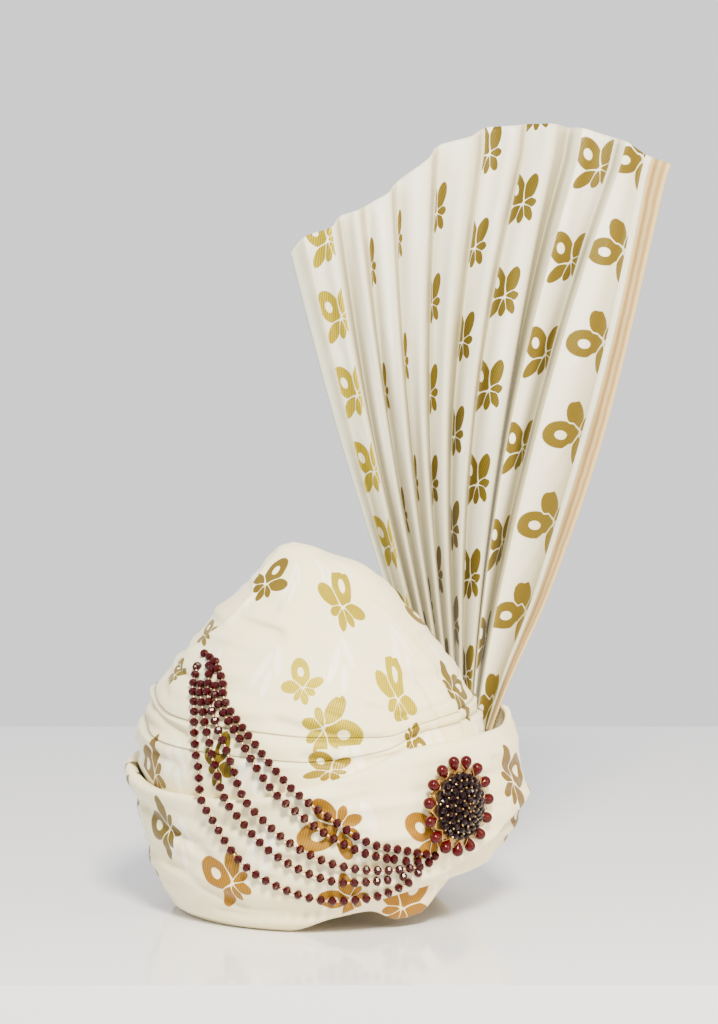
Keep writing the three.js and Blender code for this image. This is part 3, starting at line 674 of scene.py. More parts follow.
def paint_fan(piece, vertex_place, widths):
    """Gives the fan's corners their places on its flowers and borders, and the painted shade in its pleats.
    """
    _, corner_vertex, corner_face, _ = corner_arrays(piece.data)
    corner = vertex_place[corner_vertex]
    sums = np.zeros((len(piece.data.polygons), 3))
    counts = np.bincount(corner_face)
    for i in range(3):
        sums[:, i] = np.bincount(corner_face, corner[:, i]) / counts
    face = sums[corner_face]
    facet = np.clip(np.floor(face[:, 0]), 0, len(FAN_FOLDS) - 2).astype(int)
    level = np.clip(face[:, 2].astype(int), 0, FAN_ROWS)
    wide = widths[level, facet]
    vectors = np.zeros((len(corner), 3))
    vectors[:, :2] = FLOWER_FAR
    for on, middle, first, pitch, spin, squeeze, gilt_painted_light in FAN_FLOWERS:
        chosen = facet == on
        number = np.rint((face[:, 1] - first) / pitch)
        aside = (corner[:, 0] - on - middle) * wide / squeeze
        above = corner[:, 1] - first - number * pitch
        angle = math.radians(spin)
        vectors[chosen, 0] = (aside * math.cos(angle) + above * math.sin(angle))[chosen]
        vectors[chosen, 1] = (above * math.cos(angle) - aside * math.sin(angle))[chosen]
        vectors[chosen, 2] = gilt_painted_light
    set_corner_vectors(piece.data, "flower", vectors)
    share = corner[:, 0] - facet
    # Painted shade in the pleats, stronger towards the fan's base
    shade = read(BROAD_SHADE, "shade", share)
    shade = np.where(np.isin(facet, RETURN_FACETS), read(RETURN_SHADE, "shade", share), shade)
    shade = np.where(np.isin(facet, RIGHT_FACETS), read(RIGHT_SHADE, "shade", share), shade)
    shade *= SHADE_AT_BASE - SHADE_LOST * corner[:, 2] / FAN_ROWS
    set_corner_vectors(piece.data, "pleat", np.stack([corner[:, 0], shade, corner[:, 1]], 1))


# The garnet strings' routes over the crown and the cuff, as turns and heights
STRINGS = (
    ((-54.5, 168), (-43.6, 145), (-37.5, 114), (-33.5, 78), (-21, 42), (0, 24.5), (18, 25.5), (30, 34.5)),
    ((-45.6, 158), (-39.9, 145), (-32.5, 120), (-27, 88), (-14, 54.5), (4, 37), (19, 36)),
    ((-51, 174), (-42, 158), (-36.3, 145), (-26.5, 118), (-20.5, 88), (-9, 62), (6, 47), (20, 43),
    (33, 43.5)),
    ((-38.4, 158), (-32.8, 145), (-23, 127), (-12.5, 97), (1, 69), (13, 55), (21.5, 50)),
    ((-46.5, 171.5), (-35, 158), (-29.4, 145), (-19, 126.5), (-8, 101), (4, 77), (15, 61),
    (25, 55.5), (38, 48.5)),
)
BEAD_RADIUS = 2.55
BEAD_PITCH = 7.3
BEAD_LENGTH = 0.82
# The strings' lines are laid for the CAD bead; the bead that shows is a little fuller
BEAD_SHOWN = 3.15
STRING_CLEARANCE = 0.6
STRING_EASE_ROUNDS = 20
LEAN_SPAN = 3
LEAN_MOST = 1.2
SPACER_RADIUS = 0.95
THREAD_RADIUS = 0.4


def rounded_route(route, per_point):
    """Points along a smooth curve through a route, spaced by the square root of its steps."""
    points = np.array(route, float)
    ends = [2 * points[0] - points[1], 2 * points[-1] - points[-2]]
    padded = np.vstack([ends[:1], points, ends[1:]])
    made = []
    total = len(route) * per_point
    for i in range(total + 1):
        at = (len(route) - 1) * i / total
        k = min(int(at), len(route) - 2)
        t = at - k
        a, b, c, d = padded[k:k + 4]
        ab, bc, cd = (math.sqrt(np.linalg.norm(q - p)) for p, q in ((a, b), (b, c), (c, d)))
        leave = ((b - a) / ab - (c - a) / (ab + bc) + (c - b) / bc) * bc
        arrive = ((c - b) / bc - (d - b) / (bc + cd) + (d - c) / cd) * bc
        start = b * (1 + 2 * t) * (1 - t) ** 2 + leave * t * (1 - t) ** 2
        made.append(start + c * t * t * (3 - 2 * t) + arrive * t * t * (t - 1))
    return np.array(made)


def string_line(route):
    """A string's line: its route laid over the crown and the cuff, eased where it bridges a dip."""
    turn, height = rounded_route(route, 12).T

    def reach(level):
        return np.hypot(*crown_point(turn, level, relief_over_crown(turn, level))[:, :2].T)

    lean = (reach(height + LEAN_SPAN) - reach(height - LEAN_SPAN)) / (2 * LEAN_SPAN)
    tilt = np.hypot(1, np.minimum(np.abs(lean), LEAN_MOST))
    lift = relief_over_crown(turn, height) + (BEAD_RADIUS + STRING_CLEARANCE) * tilt
    line = crown_point(turn, height, lift)
    least = np.hypot(line[:, 0], line[:, 1])
    out = least.copy()
    for _ in range(STRING_EASE_ROUNDS):
        for i in range(1, len(out) - 1):
            out[i] = max(least[i], (out[i - 1] + out[i + 1]) / 2)
    line[:, :2] *= (out / least)[:, None]
    return line


def along_line(line, shares):
    """Points and directions at shares of a line's length."""
    steps = np.linalg.norm(np.diff(line, axis=0), axis=1)
    length = np.concatenate([[0], np.cumsum(steps)])
    wanted = np.asarray(shares) * length[-1]
    points = np.stack([np.interp(wanted, length, line[:, i]) for i in range(3)], 1)
    ahead = np.stack([np.interp(wanted + 1, length, line[:, i]) for i in range(3)], 1)
    behind = np.stack([np.interp(wanted - 1, length, line[:, i]) for i in range(3)], 1)
    ways = ahead - behind
    return points, ways / np.linalg.norm(ways, axis=1)[:, None], length[-1]


def standing(point, way, size):
    """A matrix that puts a shape at a point, with its Z along a way, scaled by size."""
    turned = Vector(way).to_track_quat("Z", "Y").to_matrix().to_4x4()
    place = Matrix.Translation(Vector((np.asarray(point) + CROWN_AXIS) * MM))
    return place @ turned @ Matrix.Diagonal((*(np.asarray(size) * MM), 1))


def add_bead(mesh, point, way, radius, length, sides=9, bands=6):
    """A cut bead: flat facets round a thread."""
    size = (radius, radius, radius * length)
    bmesh.ops.create_uvsphere(
        mesh, u_segments=sides, v_segments=bands, radius=1, matrix=standing(point, way, size),
    )


def add_tube(mesh, line, radius, sides=6):
    """A round wire or thread along a line in the crown's frame: a grid rolled up round it."""
    line = np.asarray(line, float)
    way = np.gradient(line, axis=0)
    way /= np.linalg.norm(way, axis=1)[:, None]
    spoke = np.cross(way, (0.31, 0.22, 0.93))
    spoke /= np.linalg.norm(spoke, axis=1)[:, None]
    other = np.cross(way, spoke)
    made = bmesh.ops.create_grid(mesh, x_segments=sides, y_segments=len(line) - 1, size=0.5)["verts"]
    for vertex in made:
        angle = 2 * math.pi * round((vertex.co.x + 0.5) * sides) / sides
        i = round((vertex.co.y + 0.5) * (len(line) - 1))
        point = line[i] + radius * (math.cos(angle) * spoke[i] + math.sin(angle) * other[i])
        vertex.co = (point + CROWN_AXIS) * MM
    bmesh.ops.remove_doubles(mesh, verts=made, dist=0.001 * MM)
    rims = [edge for edge in mesh.edges if edge.is_boundary]
    bmesh.ops.holes_fill(mesh, edges=rims, sides=sides)


# Rows where the strings are gathered at their two ends, between the beads of the strings themselves
GATHERED_ROWS = (
    ((22.2, 50), (25.6, 48.2), (29.1, 47.4), (34.4, 45.4)), ((20.7, 36.4), (24.4, 37.4),
    (28, 38.4), (31, 39.4)),
    ((-54.5, 173), (-49, 172), (-45.4, 169)), ((-53.5, 164.8), (-48.9, 165.5), (-44.1, 164.9)),
)


def garnet_strings(garnet, spacer, thread):
    spacers, threads = bmesh.new(), bmesh.new()
    for number, route in enumerate(STRINGS, 1):
        line = string_line(route)
        _, _, length = along_line(line, [0])
        count = int(length / BEAD_PITCH)
        beads = bmesh.new()
        points, ways, _ = along_line(line, [(2 * i + 1) / (2 * count) for i in range(count)])
        for point, way in zip(points, ways):
            add_bead(beads, point, way, BEAD_SHOWN, BEAD_LENGTH)
        replaced = [f"strand_{number}"]
        make_piece(f"garnet_string_{number}", beads, [garnet], replaced, smooth=False)
        points, ways, _ = along_line(line, [i / count for i in range(1, count)])
        for point, way in zip(points, ways):
            add_bead(spacers, point, way, SPACER_RADIUS, 1.7, sides=6, bands=4)
        inner, _, _ = along_line(line, np.linspace(0.5 / count, 1 - 0.5 / count, 2 * count))
        add_tube(threads, inner, THREAD_RADIUS, sides=5)
    gathered = bmesh.new()
    for route in GATHERED_ROWS:
        line = string_line(route)
        _, _, length = along_line(line, [0])
        count = max(2, round(length / BEAD_PITCH))
        points, ways, _ = along_line(line, [i / (count - 1) for i in range(count)])
        for point, way in zip(points, ways):
            add_bead(gathered, point, way, BEAD_SHOWN, BEAD_LENGTH)
    make_piece("gathered_beads", gathered, [garnet], smooth=False)
    for mesh in (spacers, threads):
        bmesh.ops.recalc_face_normals(mesh, faces=mesh.faces)
    make_piece("spacer_beads", spacers, [spacer])
    make_piece("string_threads", threads, [thread])


# The brooch, in its own frame: +Z out of the cuff, +Y up it
DROP_COUNT = 15
DROP_NAMES = [f"drop_{i + 1:02d}" for i in range(DROP_COUNT)]
DROP_TIP = 22.3
DROP_RADIUS = 3.7
DROP_LENGTH = 10.2
DROP_PROFILE = table("along wide", [
    (0, 0), (0.03, 0.16), (0.1, 0.34), (0.25, 0.62), (0.45, 0.9), (0.6, 1), (0.75, 0.95), (0.88, 0.72),
    (0.96, 0.4), (1, 0),
])
DOME_RADIUS = 20.6
DOME_HEIGHT = 8
PLATE_NOTCH = 21.8
PLATE_POINT = 26.5
PLATE_THICKNESS = 5
WIRE_RADIUS = 0.42
FIELD_RINGS = ((0, 1), (5.1, 6), (10.0, 12), (14.9, 18), (19.3, 22))
FIELD_BEAD = 2.62
SEED_RINGS = ((2.9, 6), (7.6, 9), (12.5, 15), (17.2, 20), (21.2, 15))
SEED_BEAD = 0.8


def brooch_frame():
    """The brooch's place, read back from its drops: middle of its base, right, up and out."""
    middles = []
    for name in DROP_NAMES:
        points = np.array([v.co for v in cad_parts[name].data.vertices])
        middles.append(points.mean(0) / MM - CROWN_AXIS)
    middles = np.array(middles)
    centre = middles.mean(0)
    aside = middles[0] - centre
    aside /= np.linalg.norm(aside)
    outward = np.cross(aside, middles[4] - centre)
    outward /= np.linalg.norm(outward)
    return centre - outward * DROP_RADIUS, aside, np.cross(outward, aside), outward


def brooch_point(base, from_middle, angle, height):
    centre, aside, upward, outward = base
    flat = aside * math.cos(angle) + upward * math.sin(angle)
    return centre + flat * from_middle + outward * height


def dome_height(from_middle):
    return PLATE_THICKNESS + DOME_HEIGHT * (1 - (from_middle / DOME_RADIUS) ** 2)


def brooch_matrix(base):
    centre, aside, upward, outward = base
    turned = Matrix(np.column_stack([aside, upward, outward]).tolist()).to_4x4()
    place = Matrix.Translation(Vector((centre + CROWN_AXIS) * MM))
    return place @ turned @ Matrix.Diagonal((MM, MM, MM, 1))


def red_drops(base, glass):
    """Pear drops, each a profile spun round its own axis and laid on the cuff, tip inwards."""
    for i, name in enumerate(DROP_NAMES):
        mesh = bmesh.new()
        shares = np.concatenate([np.linspace(0, 0.1, 4), np.linspace(0.2, 0.8, 8), np.linspace(0.87, 1, 5)])
        wides = read(DROP_PROFILE, "wide", shares)
        wides[[0, -1]] = 0
        line = [
            mesh.verts.new((share * DROP_LENGTH, wide * DROP_RADIUS, 0))
            for share, wide in zip(shares, wides)
        ]
        edges = [mesh.edges.new(pair) for pair in zip(line, line[1:])]
        bmesh.ops.spin(
            mesh, geom=line + edges, axis=(1, 0, 0), cent=(0, 0, 0), angle=2 * math.pi, steps=24,
            use_merge=True,
        )
        bmesh.ops.remove_doubles(mesh, verts=mesh.verts, dist=0.001)
        bmesh.ops.recalc_face_normals(mesh, faces=mesh.faces)
        lying = Matrix.Rotation(2 * math.pi * i / DROP_COUNT, 4, "Z")
        lying = lying @ Matrix.Translation((DROP_TIP, 0, DROP_RADIUS))
        bmesh.ops.transform(mesh, matrix=brooch_matrix(base) @ lying, verts=mesh.verts)
        make_piece(f"red_{name}", mesh, [glass], [name])


def brooch_field(base, stones, seeds, gold, felt):
    """The padded dome with its rings of dark beads, the seed beads between and the zigzag wire."""
    pad = bmesh.new()
    outline = []
    for i in range(2 * DROP_COUNT):
        angle = math.pi * i / DROP_COUNT
        radius = (PLATE_NOTCH, PLATE_POINT)[i % 2] - 0.9
        outline.append(pad.verts.new((radius * math.cos(angle), radius * math.sin(angle), 0.3)))
    plate = pad.faces.new(outline)
    raised = bmesh.ops.extrude_face_region(pad, geom=[plate])["geom"]
    lifted = [item for item in raised if isinstance(item, bmesh.types.BMVert)]
    bmesh.ops.translate(pad, verts=lifted, vec=(0, 0, PLATE_THICKNESS - 1.6))
    bmesh.ops.recalc_face_normals(pad, faces=pad.faces)
    bmesh.ops.transform(pad, matrix=brooch_matrix(base), verts=pad.verts)
    make_piece("brooch_plate", pad, [gold], smooth=False)
    dome = bmesh.new()
    bmesh.ops.create_grid(dome, x_segments=36, y_segments=12, size=0.5)
    for vertex in dome.verts:
        angle = 2 * math.pi * (vertex.co.x + 0.5)
        from_middle = (vertex.co.y + 0.5) * DOME_RADIUS
        x, y = from_middle * math.cos(angle), from_middle * math.sin(angle)
        vertex.co = (x, y, dome_height(from_middle) - 1.2)
    bmesh.ops.remove_doubles(dome, verts=dome.verts, dist=0.001)
    rims = [edge for edge in dome.edges if edge.is_boundary]
    skirt = bmesh.ops.extrude_edge_only(dome, edges=rims)["geom"]
    lowered = [item for item in skirt if isinstance(item, bmesh.types.BMVert)]
    bmesh.ops.translate(dome, verts=lowered, vec=(0, 0, -2.6))
    bmesh.ops.holes_fill(dome, edges=[edge for edge in dome.edges if edge.is_boundary], sides=0)
    bmesh.ops.recalc_face_normals(dome, faces=dome.faces)
    bmesh.ops.transform(dome, matrix=brooch_matrix(base), verts=dome.verts)
    make_piece("brooch_dome", dome, [felt])
    field, seed_field = bmesh.new(), bmesh.new()
    rings = ((field, FIELD_RINGS, FIELD_BEAD, 0.7, (8, 5)), (seed_field, SEED_RINGS, SEED_BEAD, 1.9, (6, 4)))
    for mesh, levels, radius, sunk, (sides, bands) in rings:
        for index, (from_middle, count) in enumerate(levels):
            for i in range(count):
                angle = 2 * math.pi * (i + 0.5 * (index % 2)) / count
                height = dome_height(min(from_middle, DOME_RADIUS)) + sunk
                point = brooch_point(base, from_middle, angle, height)
                slope = 2 * DOME_HEIGHT * from_middle / DOME_RADIUS ** 2
                out = brooch_point(base, from_middle + slope, angle, height + 1) - point
                add_bead(mesh, point, out, radius, 0.86, sides, bands)
    make_piece("brooch_field", field, [stones], ["brooch_cluster"], smooth=False)
    make_piece("brooch_seeds", seed_field, [seeds], smooth=False)
    wire = bmesh.new()
    for height, shrink in ((PLATE_THICKNESS - 0.4, 0.0), (1.2, 0.4)):
        line = []
        for i in range(2 * DROP_COUNT + 1):
            for share in (0.0, 0.5):
                at = i + share
                low, high = (PLATE_NOTCH, PLATE_POINT) if i % 2 == 0 else (PLATE_POINT, PLATE_NOTCH)
                radius = mix(low, high, share) - shrink
                line.append(brooch_point(base, radius, math.pi * at / DROP_COUNT, height))
        add_tube(wire, line[:-1], WIRE_RADIUS, sides=8)
    bmesh.ops.recalc_face_normals(wire, faces=wire.faces)
    make_piece("brooch_wire", wire, [gold])


# Materials


def linear(code):
    """An sRGB hex colour as linear values with full alpha."""
    parts = [int(code[i:i + 2], 16) / 255 for i in (1, 3, 5)]
    return tuple(c / 12.92 if c <= 0.04045 else ((c + 0.055) / 1.055) ** 2.4 for c in parts) + (1.0,)


def add_node(tree, kind, inputs=(), **settings):
    """Adds a node with its settings, and fills its inputs with values or other nodes' outputs."""
    made = tree.nodes.new(kind)
    for name, value in settings.items():
        setattr(made, name, value)
    for name, value in dict(inputs).items():
        if isinstance(value, bpy.types.NodeSocket):
            tree.links.new(value, made.inputs[name])
        else:
            made.inputs[name].default_value = value
    return made


def new_material(name, **sockets):
    """A material with one principled shader, and values for the shader's own sockets."""
    material = bpy.data.materials.new(name)
    material.use_nodes = True
    tree = material.node_tree
    shader = tree.nodes["Principled BSDF"]
    for socket, value in sockets.items():
        shader.inputs[socket.replace("_", " ")].default_value = value
    return material, tree, shader


# The woven flower, in millimetres from the point where its petals meet: middle, half length,
# half width and the way that each petal points, in degrees
PETALS = table("x y long wide way", [
    (-10.4, 9.6, 13.6, 9.8, 132), (5.4, 11.4, 10.6, 6.2, 62), (7.2, 1.2, 6.4, 3.3, 8),
    (5.9, -5.6, 7.0, 4.2, -46), (-1.0, -7.6, 6.4, 3.7, -98), (-9.6, -7.6, 10.4, 4.9, 219),
])
FLOWER_EYE = (-10.6, 9.4, 4.2, 3.1, 125)
VEIN = 0.13
# How far round each point the painted shade in folds looks for cloth that closes it in
FOLD_SHADE_REACH_MM = 28
HATCH_MM = 1.3
THREAD_MM = 1.1


def ellipse_distance(tree, place, x, y, long, wide, way):
    """How far a place is from an ellipse's middle, as a share of its size."""
    local = add_node(tree, "ShaderNodeMapping", {
        "Vector": place, "Location": (x, y, 0), "Rotation": (0, 0, math.radians(way)),
        "Scale": (long, wide, 1),
    }, vector_type="TEXTURE")
    length = add_node(tree, "ShaderNodeVectorMath", {0: local.outputs[0]}, operation="LENGTH")
    return length.outputs["Value"]


def silk_brocade(name, ground, cool, border=False):
    """Silk satin with flowers woven in gilt thread: a soft shine on cream, a duller glint on the gilt."""
    material, tree, shader = new_material(
        name, Sheen_Weight=0.12, Sheen_Roughness=0.4, Specular_IOR_Level=0.3)
    weave = add_node(tree, "ShaderNodeUVMap", uv_map="weave").outputs["UV"]
    flower = add_node(tree, "ShaderNodeAttribute", attribute_name="flower").outputs["Vector"]
    place = add_node(tree, "ShaderNodeVectorMath", {
        0: flower, 1: (1, 1, 0),
    }, operation="MULTIPLY").outputs[0]
    gilt_painted_light = add_node(tree, "ShaderNodeSeparateXYZ", {0: flower}).outputs["Z"]
    nearest = second = None
    for row in zip(*(PETALS[column] for column in ("x", "y", "long", "wide", "way"))):
        petal = ellipse_distance(tree, place, *row)
        if nearest is None:
            nearest, second = petal, FLOWER_FAR
            continue
        farther = add_node(tree, "ShaderNodeMath", {0: nearest, 1: petal}, operation="MAXIMUM").outputs[0]
        second = add_node(tree, "ShaderNodeMath", {0: second, 1: farther}, operation="MINIMUM").outputs[0]
        nearest = add_node(tree, "ShaderNodeMath", {0: nearest, 1: petal}, operation="MINIMUM").outputs[0]
    apart = add_node(tree, "ShaderNodeMath", {0: second, 1: nearest}, operation="SUBTRACT").outputs[0]
    off_vein = add_node(tree, "ShaderNodeMapRange", {
        "Value": apart, "From Min": 0.5 * VEIN, "From Max": VEIN, "To Min": 0, "To Max": 1,
    }).outputs[0]
    eye = ellipse_distance(tree, place, *FLOWER_EYE)
    petals = add_node(tree, "ShaderNodeMapRange", {
        "Value": nearest, "From Min": 1.0, "From Max": 0.93, "To Min": 0, "To Max": 1,
    }).outputs[0]
    around_eye = add_node(tree, "ShaderNodeMapRange", {
        "Value": eye, "From Min": 0.92, "From Max": 1.08, "To Min": 0, "To Max": 1,
    }).outputs[0]
    veined = add_node(tree, "ShaderNodeMath", {0: petals, 1: off_vein}, operation="MULTIPLY").outputs[0]
    gilt = add_node(tree, "ShaderNodeMath", {0: veined, 1: around_eye}, operation="MULTIPLY").outputs[0]
    # The gilt thread lies in slanting rows; real rows are finer, these are as fine as the picture shows
    slanted = add_node(tree, "ShaderNodeMapping", {
        "Vector": weave, "Rotation": (0, 0, math.radians(38)), "Scale": (1 / HATCH_MM, 0.4 / HATCH_MM, 1),
    })
    rows = add_node(tree, "ShaderNodeTexWave", {
        "Vector": slanted.outputs[0], "Scale": 0.32, "Distortion": 0.6, "Detail": 1.0, "Detail Scale": 2.0,
    }, bands_direction="X", wave_profile="SIN").outputs["Fac"]
    # The gilt's colour carries painted light and shade: orange at the low end, dark olive for flowers in
    # shade, bright yellow for flowers in full light
    ramp = add_node(tree, "ShaderNodeValToRGB", {0: gilt_painted_light})
    stops = ((0.0, "#B47400"), (0.32, "#665600"), (0.6, "#907600"), (1.0, "#BCAA00"))
    while len(ramp.color_ramp.elements) < len(stops):
        ramp.color_ramp.elements.new(0.5)
    for element, (at, code) in zip(ramp.color_ramp.elements, stops):
        element.position = at
        element.color = linear(code)
    dull = add_node(tree, "ShaderNodeMix", {
        0: 0.6, 6: ramp.outputs[0], 7: linear("#4A3C08"),
    }, data_type="RGBA")
    thread = add_node(tree, "ShaderNodeMix", {
        0: rows, 6: dull.outputs[2], 7: ramp.outputs[0],
    }, data_type="RGBA")
    patchy = add_node(tree, "ShaderNodeTexNoise", {"Vector": weave, "Scale": 1 / 38, "Detail": 3.0})
    cream = add_node(tree, "ShaderNodeMix", {
        0: patchy.outputs["Fac"], 6: linear(ground), 7: linear(cool),
    }, data_type="RGBA").outputs[2]
    # Leaves woven white on white: a lattice of small, faint leaves
    lattice = add_node(tree, "ShaderNodeMapping", {
        "Vector": weave, "Scale": (1 / 58, 1 / 74, 1),
    }).outputs[0]
    cell = add_node(tree, "ShaderNodeVectorMath", {0: lattice}, operation="FRACTION").outputs[0]
    leaf = None
    for row in ((0.3, 0.42, 0.2, 0.06, 62), (0.5, 0.5, 0.18, 0.055, 108), (0.42, 0.26, 0.14, 0.05, 85)):
        one = ellipse_distance(tree, cell, *row)
        leaf = one if leaf is None else add_node(
            tree, "ShaderNodeMath", {0: leaf, 1: one}, operation="MINIMUM").outputs[0]
    tone = add_node(tree, "ShaderNodeMapRange", {
        "Value": leaf, "From Min": 1.05, "From Max": 0.9, "To Min": 0, "To Max": 1,
    }).outputs[0]
    faint = add_node(tree, "ShaderNodeMath", {0: tone, 1: 0.5}, operation="MULTIPLY").outputs[0]
    toned = add_node(tree, "ShaderNodeMix", {
        0: faint, 6: cream, 7: linear("#FFFDF6"),
    }, data_type="RGBA").outputs[2]
    if border:
        toned = fan_border(tree, toned)
    colour = add_node(tree, "ShaderNodeMix", {
        0: gilt, 6: toned, 7: thread.outputs[2],
    }, data_type="RGBA").outputs[2]
    # Painted shade: deep in its folds and hollows the cream cloth is painted darker and olive, by how closed
    # in each point is
    open_sky = add_node(tree, "ShaderNodeAmbientOcclusion", {
        "Distance": FOLD_SHADE_REACH_MM * MM,
    }, samples=8, only_local=True)
    deep = add_node(tree, "ShaderNodeMapRange", {
        "Value": open_sky.outputs["AO"], "From Min": 0.2, "From Max": 0.98, "To Min": 0.75, "To Max": 0,
    }).outputs[0]
    fold_shaded_colour = add_node(tree, "ShaderNodeMix", {0: deep, 6: colour, 7: linear("#8A8048")}, data_type="RGBA",
                      blend_type="MULTIPLY").outputs[2]
    tree.links.new(fold_shaded_colour, shader.inputs["Base Color"])
    shine = add_node(tree, "ShaderNodeMapRange", {"Value": gilt, "To Min": 0.0, "To Max": 0.2}).outputs[0]
    tree.links.new(shine, shader.inputs["Metallic"])
    matt = add_node(tree, "ShaderNodeMapRange", {"Value": tone, "To Min": 0.55, "To Max": 0.4}).outputs[0]
    tree.links.new(matt, shader.inputs["Roughness"])
    # Satin floats run along the weft: fine streaks, drawn as coarse as they need to be to show
    streaks = add_node(tree, "ShaderNodeMapping", {
        "Vector": weave, "Scale": (0.12 / THREAD_MM, 1 / THREAD_MM, 1),
    })
    floats = add_node(tree, "ShaderNodeTexNoise", {
        "Vector": streaks.outputs[0], "Scale": 1.0, "Detail": 2.0,
    })
    raised = add_node(tree, "ShaderNodeMath", {0: gilt, 1: rows}, operation="MULTIPLY").outputs[0]
    lifted = add_node(tree, "ShaderNodeMath", {
        0: floats.outputs["Fac"], 1: 0.25,
    }, operation="MULTIPLY").outputs[0]
    height = add_node(tree, "ShaderNodeMath", {0: raised, 1: lifted}, operation="ADD").outputs[0]
    with_leaf = add_node(tree, "ShaderNodeMath", {
        0: tone, 1: 0.5, 2: height,
    }, operation="MULTIPLY_ADD").outputs[0]
    bump = add_node(tree, "ShaderNodeBump", {"Height": with_leaf, "Strength": 0.25, "Distance": 0.35 * MM})
    tree.links.new(bump.outputs[0], shader.inputs["Normal"])
    return material


def fan_border(tree, ground):
    """The fan's woven selvedge in rose and gold stripes on its last facet, a grey strip on its
    first, and painted shade, darkening the cloth towards olive deep in its pleats."""
    pleat = add_node(tree, "ShaderNodeAttribute", attribute_name="pleat").outputs["Vector"]
    parts = add_node(tree, "ShaderNodeSeparateXYZ", {0: pleat}).outputs
    # Painted shade: the pleats' painted shade darkens the cloth towards olive
    deep = add_node(tree, "ShaderNodeMapRange", {
        "Value": parts["Y"], "To Min": 0, "To Max": 0.85,
    }).outputs[0]
    pleat_shaded_colour = add_node(tree, "ShaderNodeMix", {
        0: deep, 6: ground, 7: linear("#8C8250"),
    }, data_type="RGBA").outputs[2]
    last = add_node(tree, "ShaderNodeMapRange", {
        "Value": parts["X"], "From Min": 19.2, "From Max": 19.3, "To Min": 0, "To Max": 1,
    }).outputs[0]
    rubbed = add_node(tree, "ShaderNodeTexNoise", {
        "Vector": pleat, "Scale": 1 / 9, "Detail": 4.0,
    }).outputs["Fac"]
    worn = add_node(tree, "ShaderNodeMath", {0: rubbed, 1: 0.3}, operation="MULTIPLY").outputs[0]
    stripe_at = add_node(tree, "ShaderNodeMath", {
        0: parts["X"], 1: 3.2, 2: worn,
    }, operation="MULTIPLY_ADD").outputs[0]
    stripe = add_node(tree, "ShaderNodeMath", {0: stripe_at, 1: 0.5}, operation="PINGPONG").outputs[0]
    on_stripe = add_node(tree, "ShaderNodeMapRange", {
        "Value": stripe, "From Min": 0.2, "From Max": 0.3, "To Min": 0, "To Max": 1,
    }).outputs[0]
    selvedge = add_node(tree, "ShaderNodeMix", {
        0: on_stripe, 6: linear("#C4AA78"), 7: linear("#A98650"),
    }, data_type="RGBA").outputs[2]
    bordered = add_node(tree, "ShaderNodeMix", {0: last, 6: pleat_shaded_colour, 7: selvedge}, data_type="RGBA").outputs[2]
    first = add_node(tree, "ShaderNodeMapRange", {
        "Value": parts["X"], "From Min": 1.02, "From Max": 0.95, "To Min": 0, "To Max": 0.8,
    }).outputs[0]
    return add_node(tree, "ShaderNodeMix", {
        0: first, 6: bordered, 7: linear("#A6AA9F"),
    }, data_type="RGBA").outputs[2]


def cut_glass(name, body, depths, roughness):
    """Pressed and cut glass: a dark body colour clouded with darker patches, under a hard bright polish."""
    material, tree, shader = new_material(name, IOR=1.5, Roughness=roughness, Specular_IOR_Level=0.22)
    place = add_node(tree, "ShaderNodeTexCoord").outputs["Object"]
    cloudy = add_node(tree, "ShaderNodeTexNoise", {"Vector": place, "Scale": 1 / (4 * MM), "Detail": 2.0})
    colour = add_node(tree, "ShaderNodeMix", {
        0: cloudy.outputs["Fac"], 6: linear(body), 7: linear(depths),
    }, data_type="RGBA").outputs[2]
    tree.links.new(colour, shader.inputs["Base Color"])
    return material


def plated_metal(name, light, dark, roughness):
    """Gilt wire and seed beads: bright metal, browner in its rubbed patches."""
    material, tree, shader = new_material(name, Metallic=1.0)
    place = add_node(tree, "ShaderNodeTexCoord").outputs["Object"]
    rubbed = add_node(tree, "ShaderNodeTexNoise", {"Vector": place, "Scale": 1 / (2.5 * MM), "Detail": 3.0})
    colour = add_node(tree, "ShaderNodeMix", {
        0: rubbed.outputs["Fac"], 6: linear(light), 7: linear(dark),
    }, data_type="RGBA").outputs[2]
    tree.links.new(colour, shader.inputs["Base Color"])
    worn = add_node(tree, "ShaderNodeMapRange", {
        "Value": rubbed.outputs["Fac"], "To Min": roughness, "To Max": roughness + 0.2,
    }).outputs[0]
    tree.links.new(worn, shader.inputs["Roughness"])
    return material


def spun_fibre(name, light, dark, grain_mm):
    """Thread and felt: matt, lighter and darker in small random patches along the fibres."""
    material, tree, shader = new_material(name, Roughness=0.85, Sheen_Weight=0.3)
    place = add_node(tree, "ShaderNodeTexCoord").outputs["Object"]
    fibres = add_node(tree, "ShaderNodeTexNoise", {
        "Vector": place, "Scale": 1 / (grain_mm * MM), "Detail": 3.0,
    })
    colour = add_node(tree, "ShaderNodeMix", {
        0: fibres.outputs["Fac"], 6: linear(light), 7: linear(dark),
    }, data_type="RGBA").outputs[2]
    tree.links.new(colour, shader.inputs["Base Color"])
    return material


# Stage: a pale table top, its soft boxes and the camera
TABLE_BACK = 0.88
TABLE_FRONT = -0.251
TABLE_SIDE = 1.6
TABLE_THICK = 0.05
CAMERA_PLACE = (-0.0289, -2.1735, 0.4135)
CAMERA_TILT = 86.0
CAMERA_LENS = 116.3


def table_top():
    mesh = bmesh.new()
    bmesh.ops.create_cube(mesh, size=1)
    size = Matrix.Diagonal((2 * TABLE_SIDE, TABLE_BACK - TABLE_FRONT, TABLE_THICK, 1))
    place = Matrix.Translation((0, (TABLE_BACK + TABLE_FRONT) / 2, -TABLE_THICK / 2))
    bmesh.ops.transform(mesh, matrix=place @ size, verts=mesh.verts)
    data = bpy.data.meshes.new("table_top")
    mesh.to_mesh(data)
    mesh.free()
    material, _, _ = new_material("white_laminate", Base_Color=linear("#E9E9EE"), Roughness=0.1)
    data.materials.append(material)
    top = bpy.data.objects.new("table_top", data)
    bpy.context.scene.collection.objects.link(top)


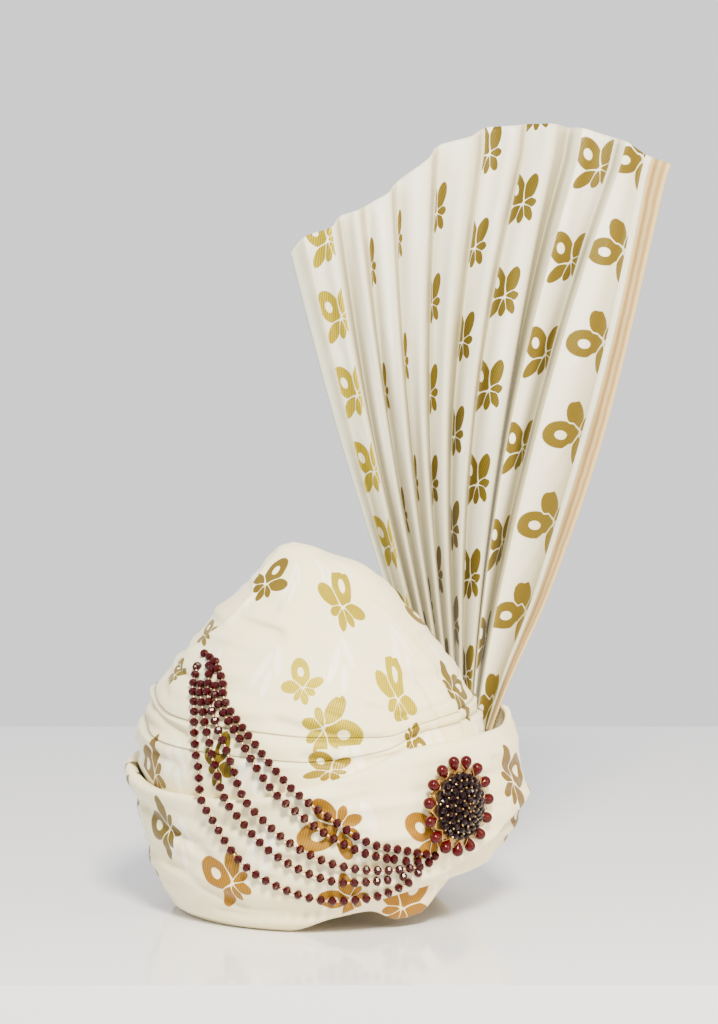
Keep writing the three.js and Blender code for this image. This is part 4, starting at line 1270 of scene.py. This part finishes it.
def soft_box(name, place, aim, size, power, colour):
    lamp = bpy.data.lights.new(name, "AREA")
    lamp.energy = power
    lamp.size = size
    lamp.color = linear(colour)[:3]
    made = bpy.data.objects.new(name, lamp)
    made.location = place
    made.rotation_mode = "QUATERNION"
    made.rotation_quaternion = (Vector(aim) - Vector(place)).to_track_quat("-Z", "Y")
    bpy.context.scene.collection.objects.link(made)


def studio():
    world = bpy.data.worlds.new("studio")
    world.use_nodes = True
    background = world.node_tree.nodes["Background"]
    background.inputs["Color"].default_value = linear("#E2E2E4")
    background.inputs["Strength"].default_value = 1.62
    bpy.context.scene.world = world
    soft_box("key", (0.2, -1.7, 1.6), (0, 0, 0.2), 0.45, 165, "#FFF8E4")
    soft_box("warm_fill", (1.4, -1.0, 0.6), (0.05, 0, 0.12), 0.8, 22, "#FFD490")
    camera = bpy.data.objects.new("camera", bpy.data.cameras.new("camera"))
    camera.location = CAMERA_PLACE
    camera.rotation_euler = (math.radians(CAMERA_TILT), 0, 0)
    camera.data.lens = CAMERA_LENS
    camera.data.sensor_width = 36
    camera.data.clip_end = 50
    bpy.context.scene.collection.objects.link(camera)
    bpy.context.scene.camera = camera


def main():
    brocade = silk_brocade("cream_silk_brocade", "#F3E2A8", "#ECE6CA")
    fan_brocade = silk_brocade("pleated_silk_brocade", "#F3ECD2", "#EFEFE8", border=True)
    garnet = cut_glass("cut_garnet_glass", "#380205", "#240103", 0.16)
    ruby = cut_glass("polished_red_glass", "#460104", "#300102", 0.18)
    dark = cut_glass("black_garnet_glass", "#160205", "#0A0103", 0.12)
    gilt = plated_metal("gilt_brass_wire", "#D9B470", "#A87C3A", 0.22)
    rose_gold = plated_metal("rose_gilt_seed_beads", "#E8C0A0", "#C08C64", 0.2)
    cotton = spun_fibre("rose_cotton_thread", "#B4806A", "#8A5040", 0.8)
    felt = spun_fibre("black_felt", "#120406", "#1E0A0C", 1.0)
    crown_cloth(brocade)
    band_cloth(brocade)
    fan_cloth(fan_brocade)
    garnet_strings(garnet, rose_gold, cotton)
    base = brooch_frame()
    red_drops(base, ruby)
    brooch_field(base, dark, gilt, gilt, felt)
    table_top()
    studio()


main()
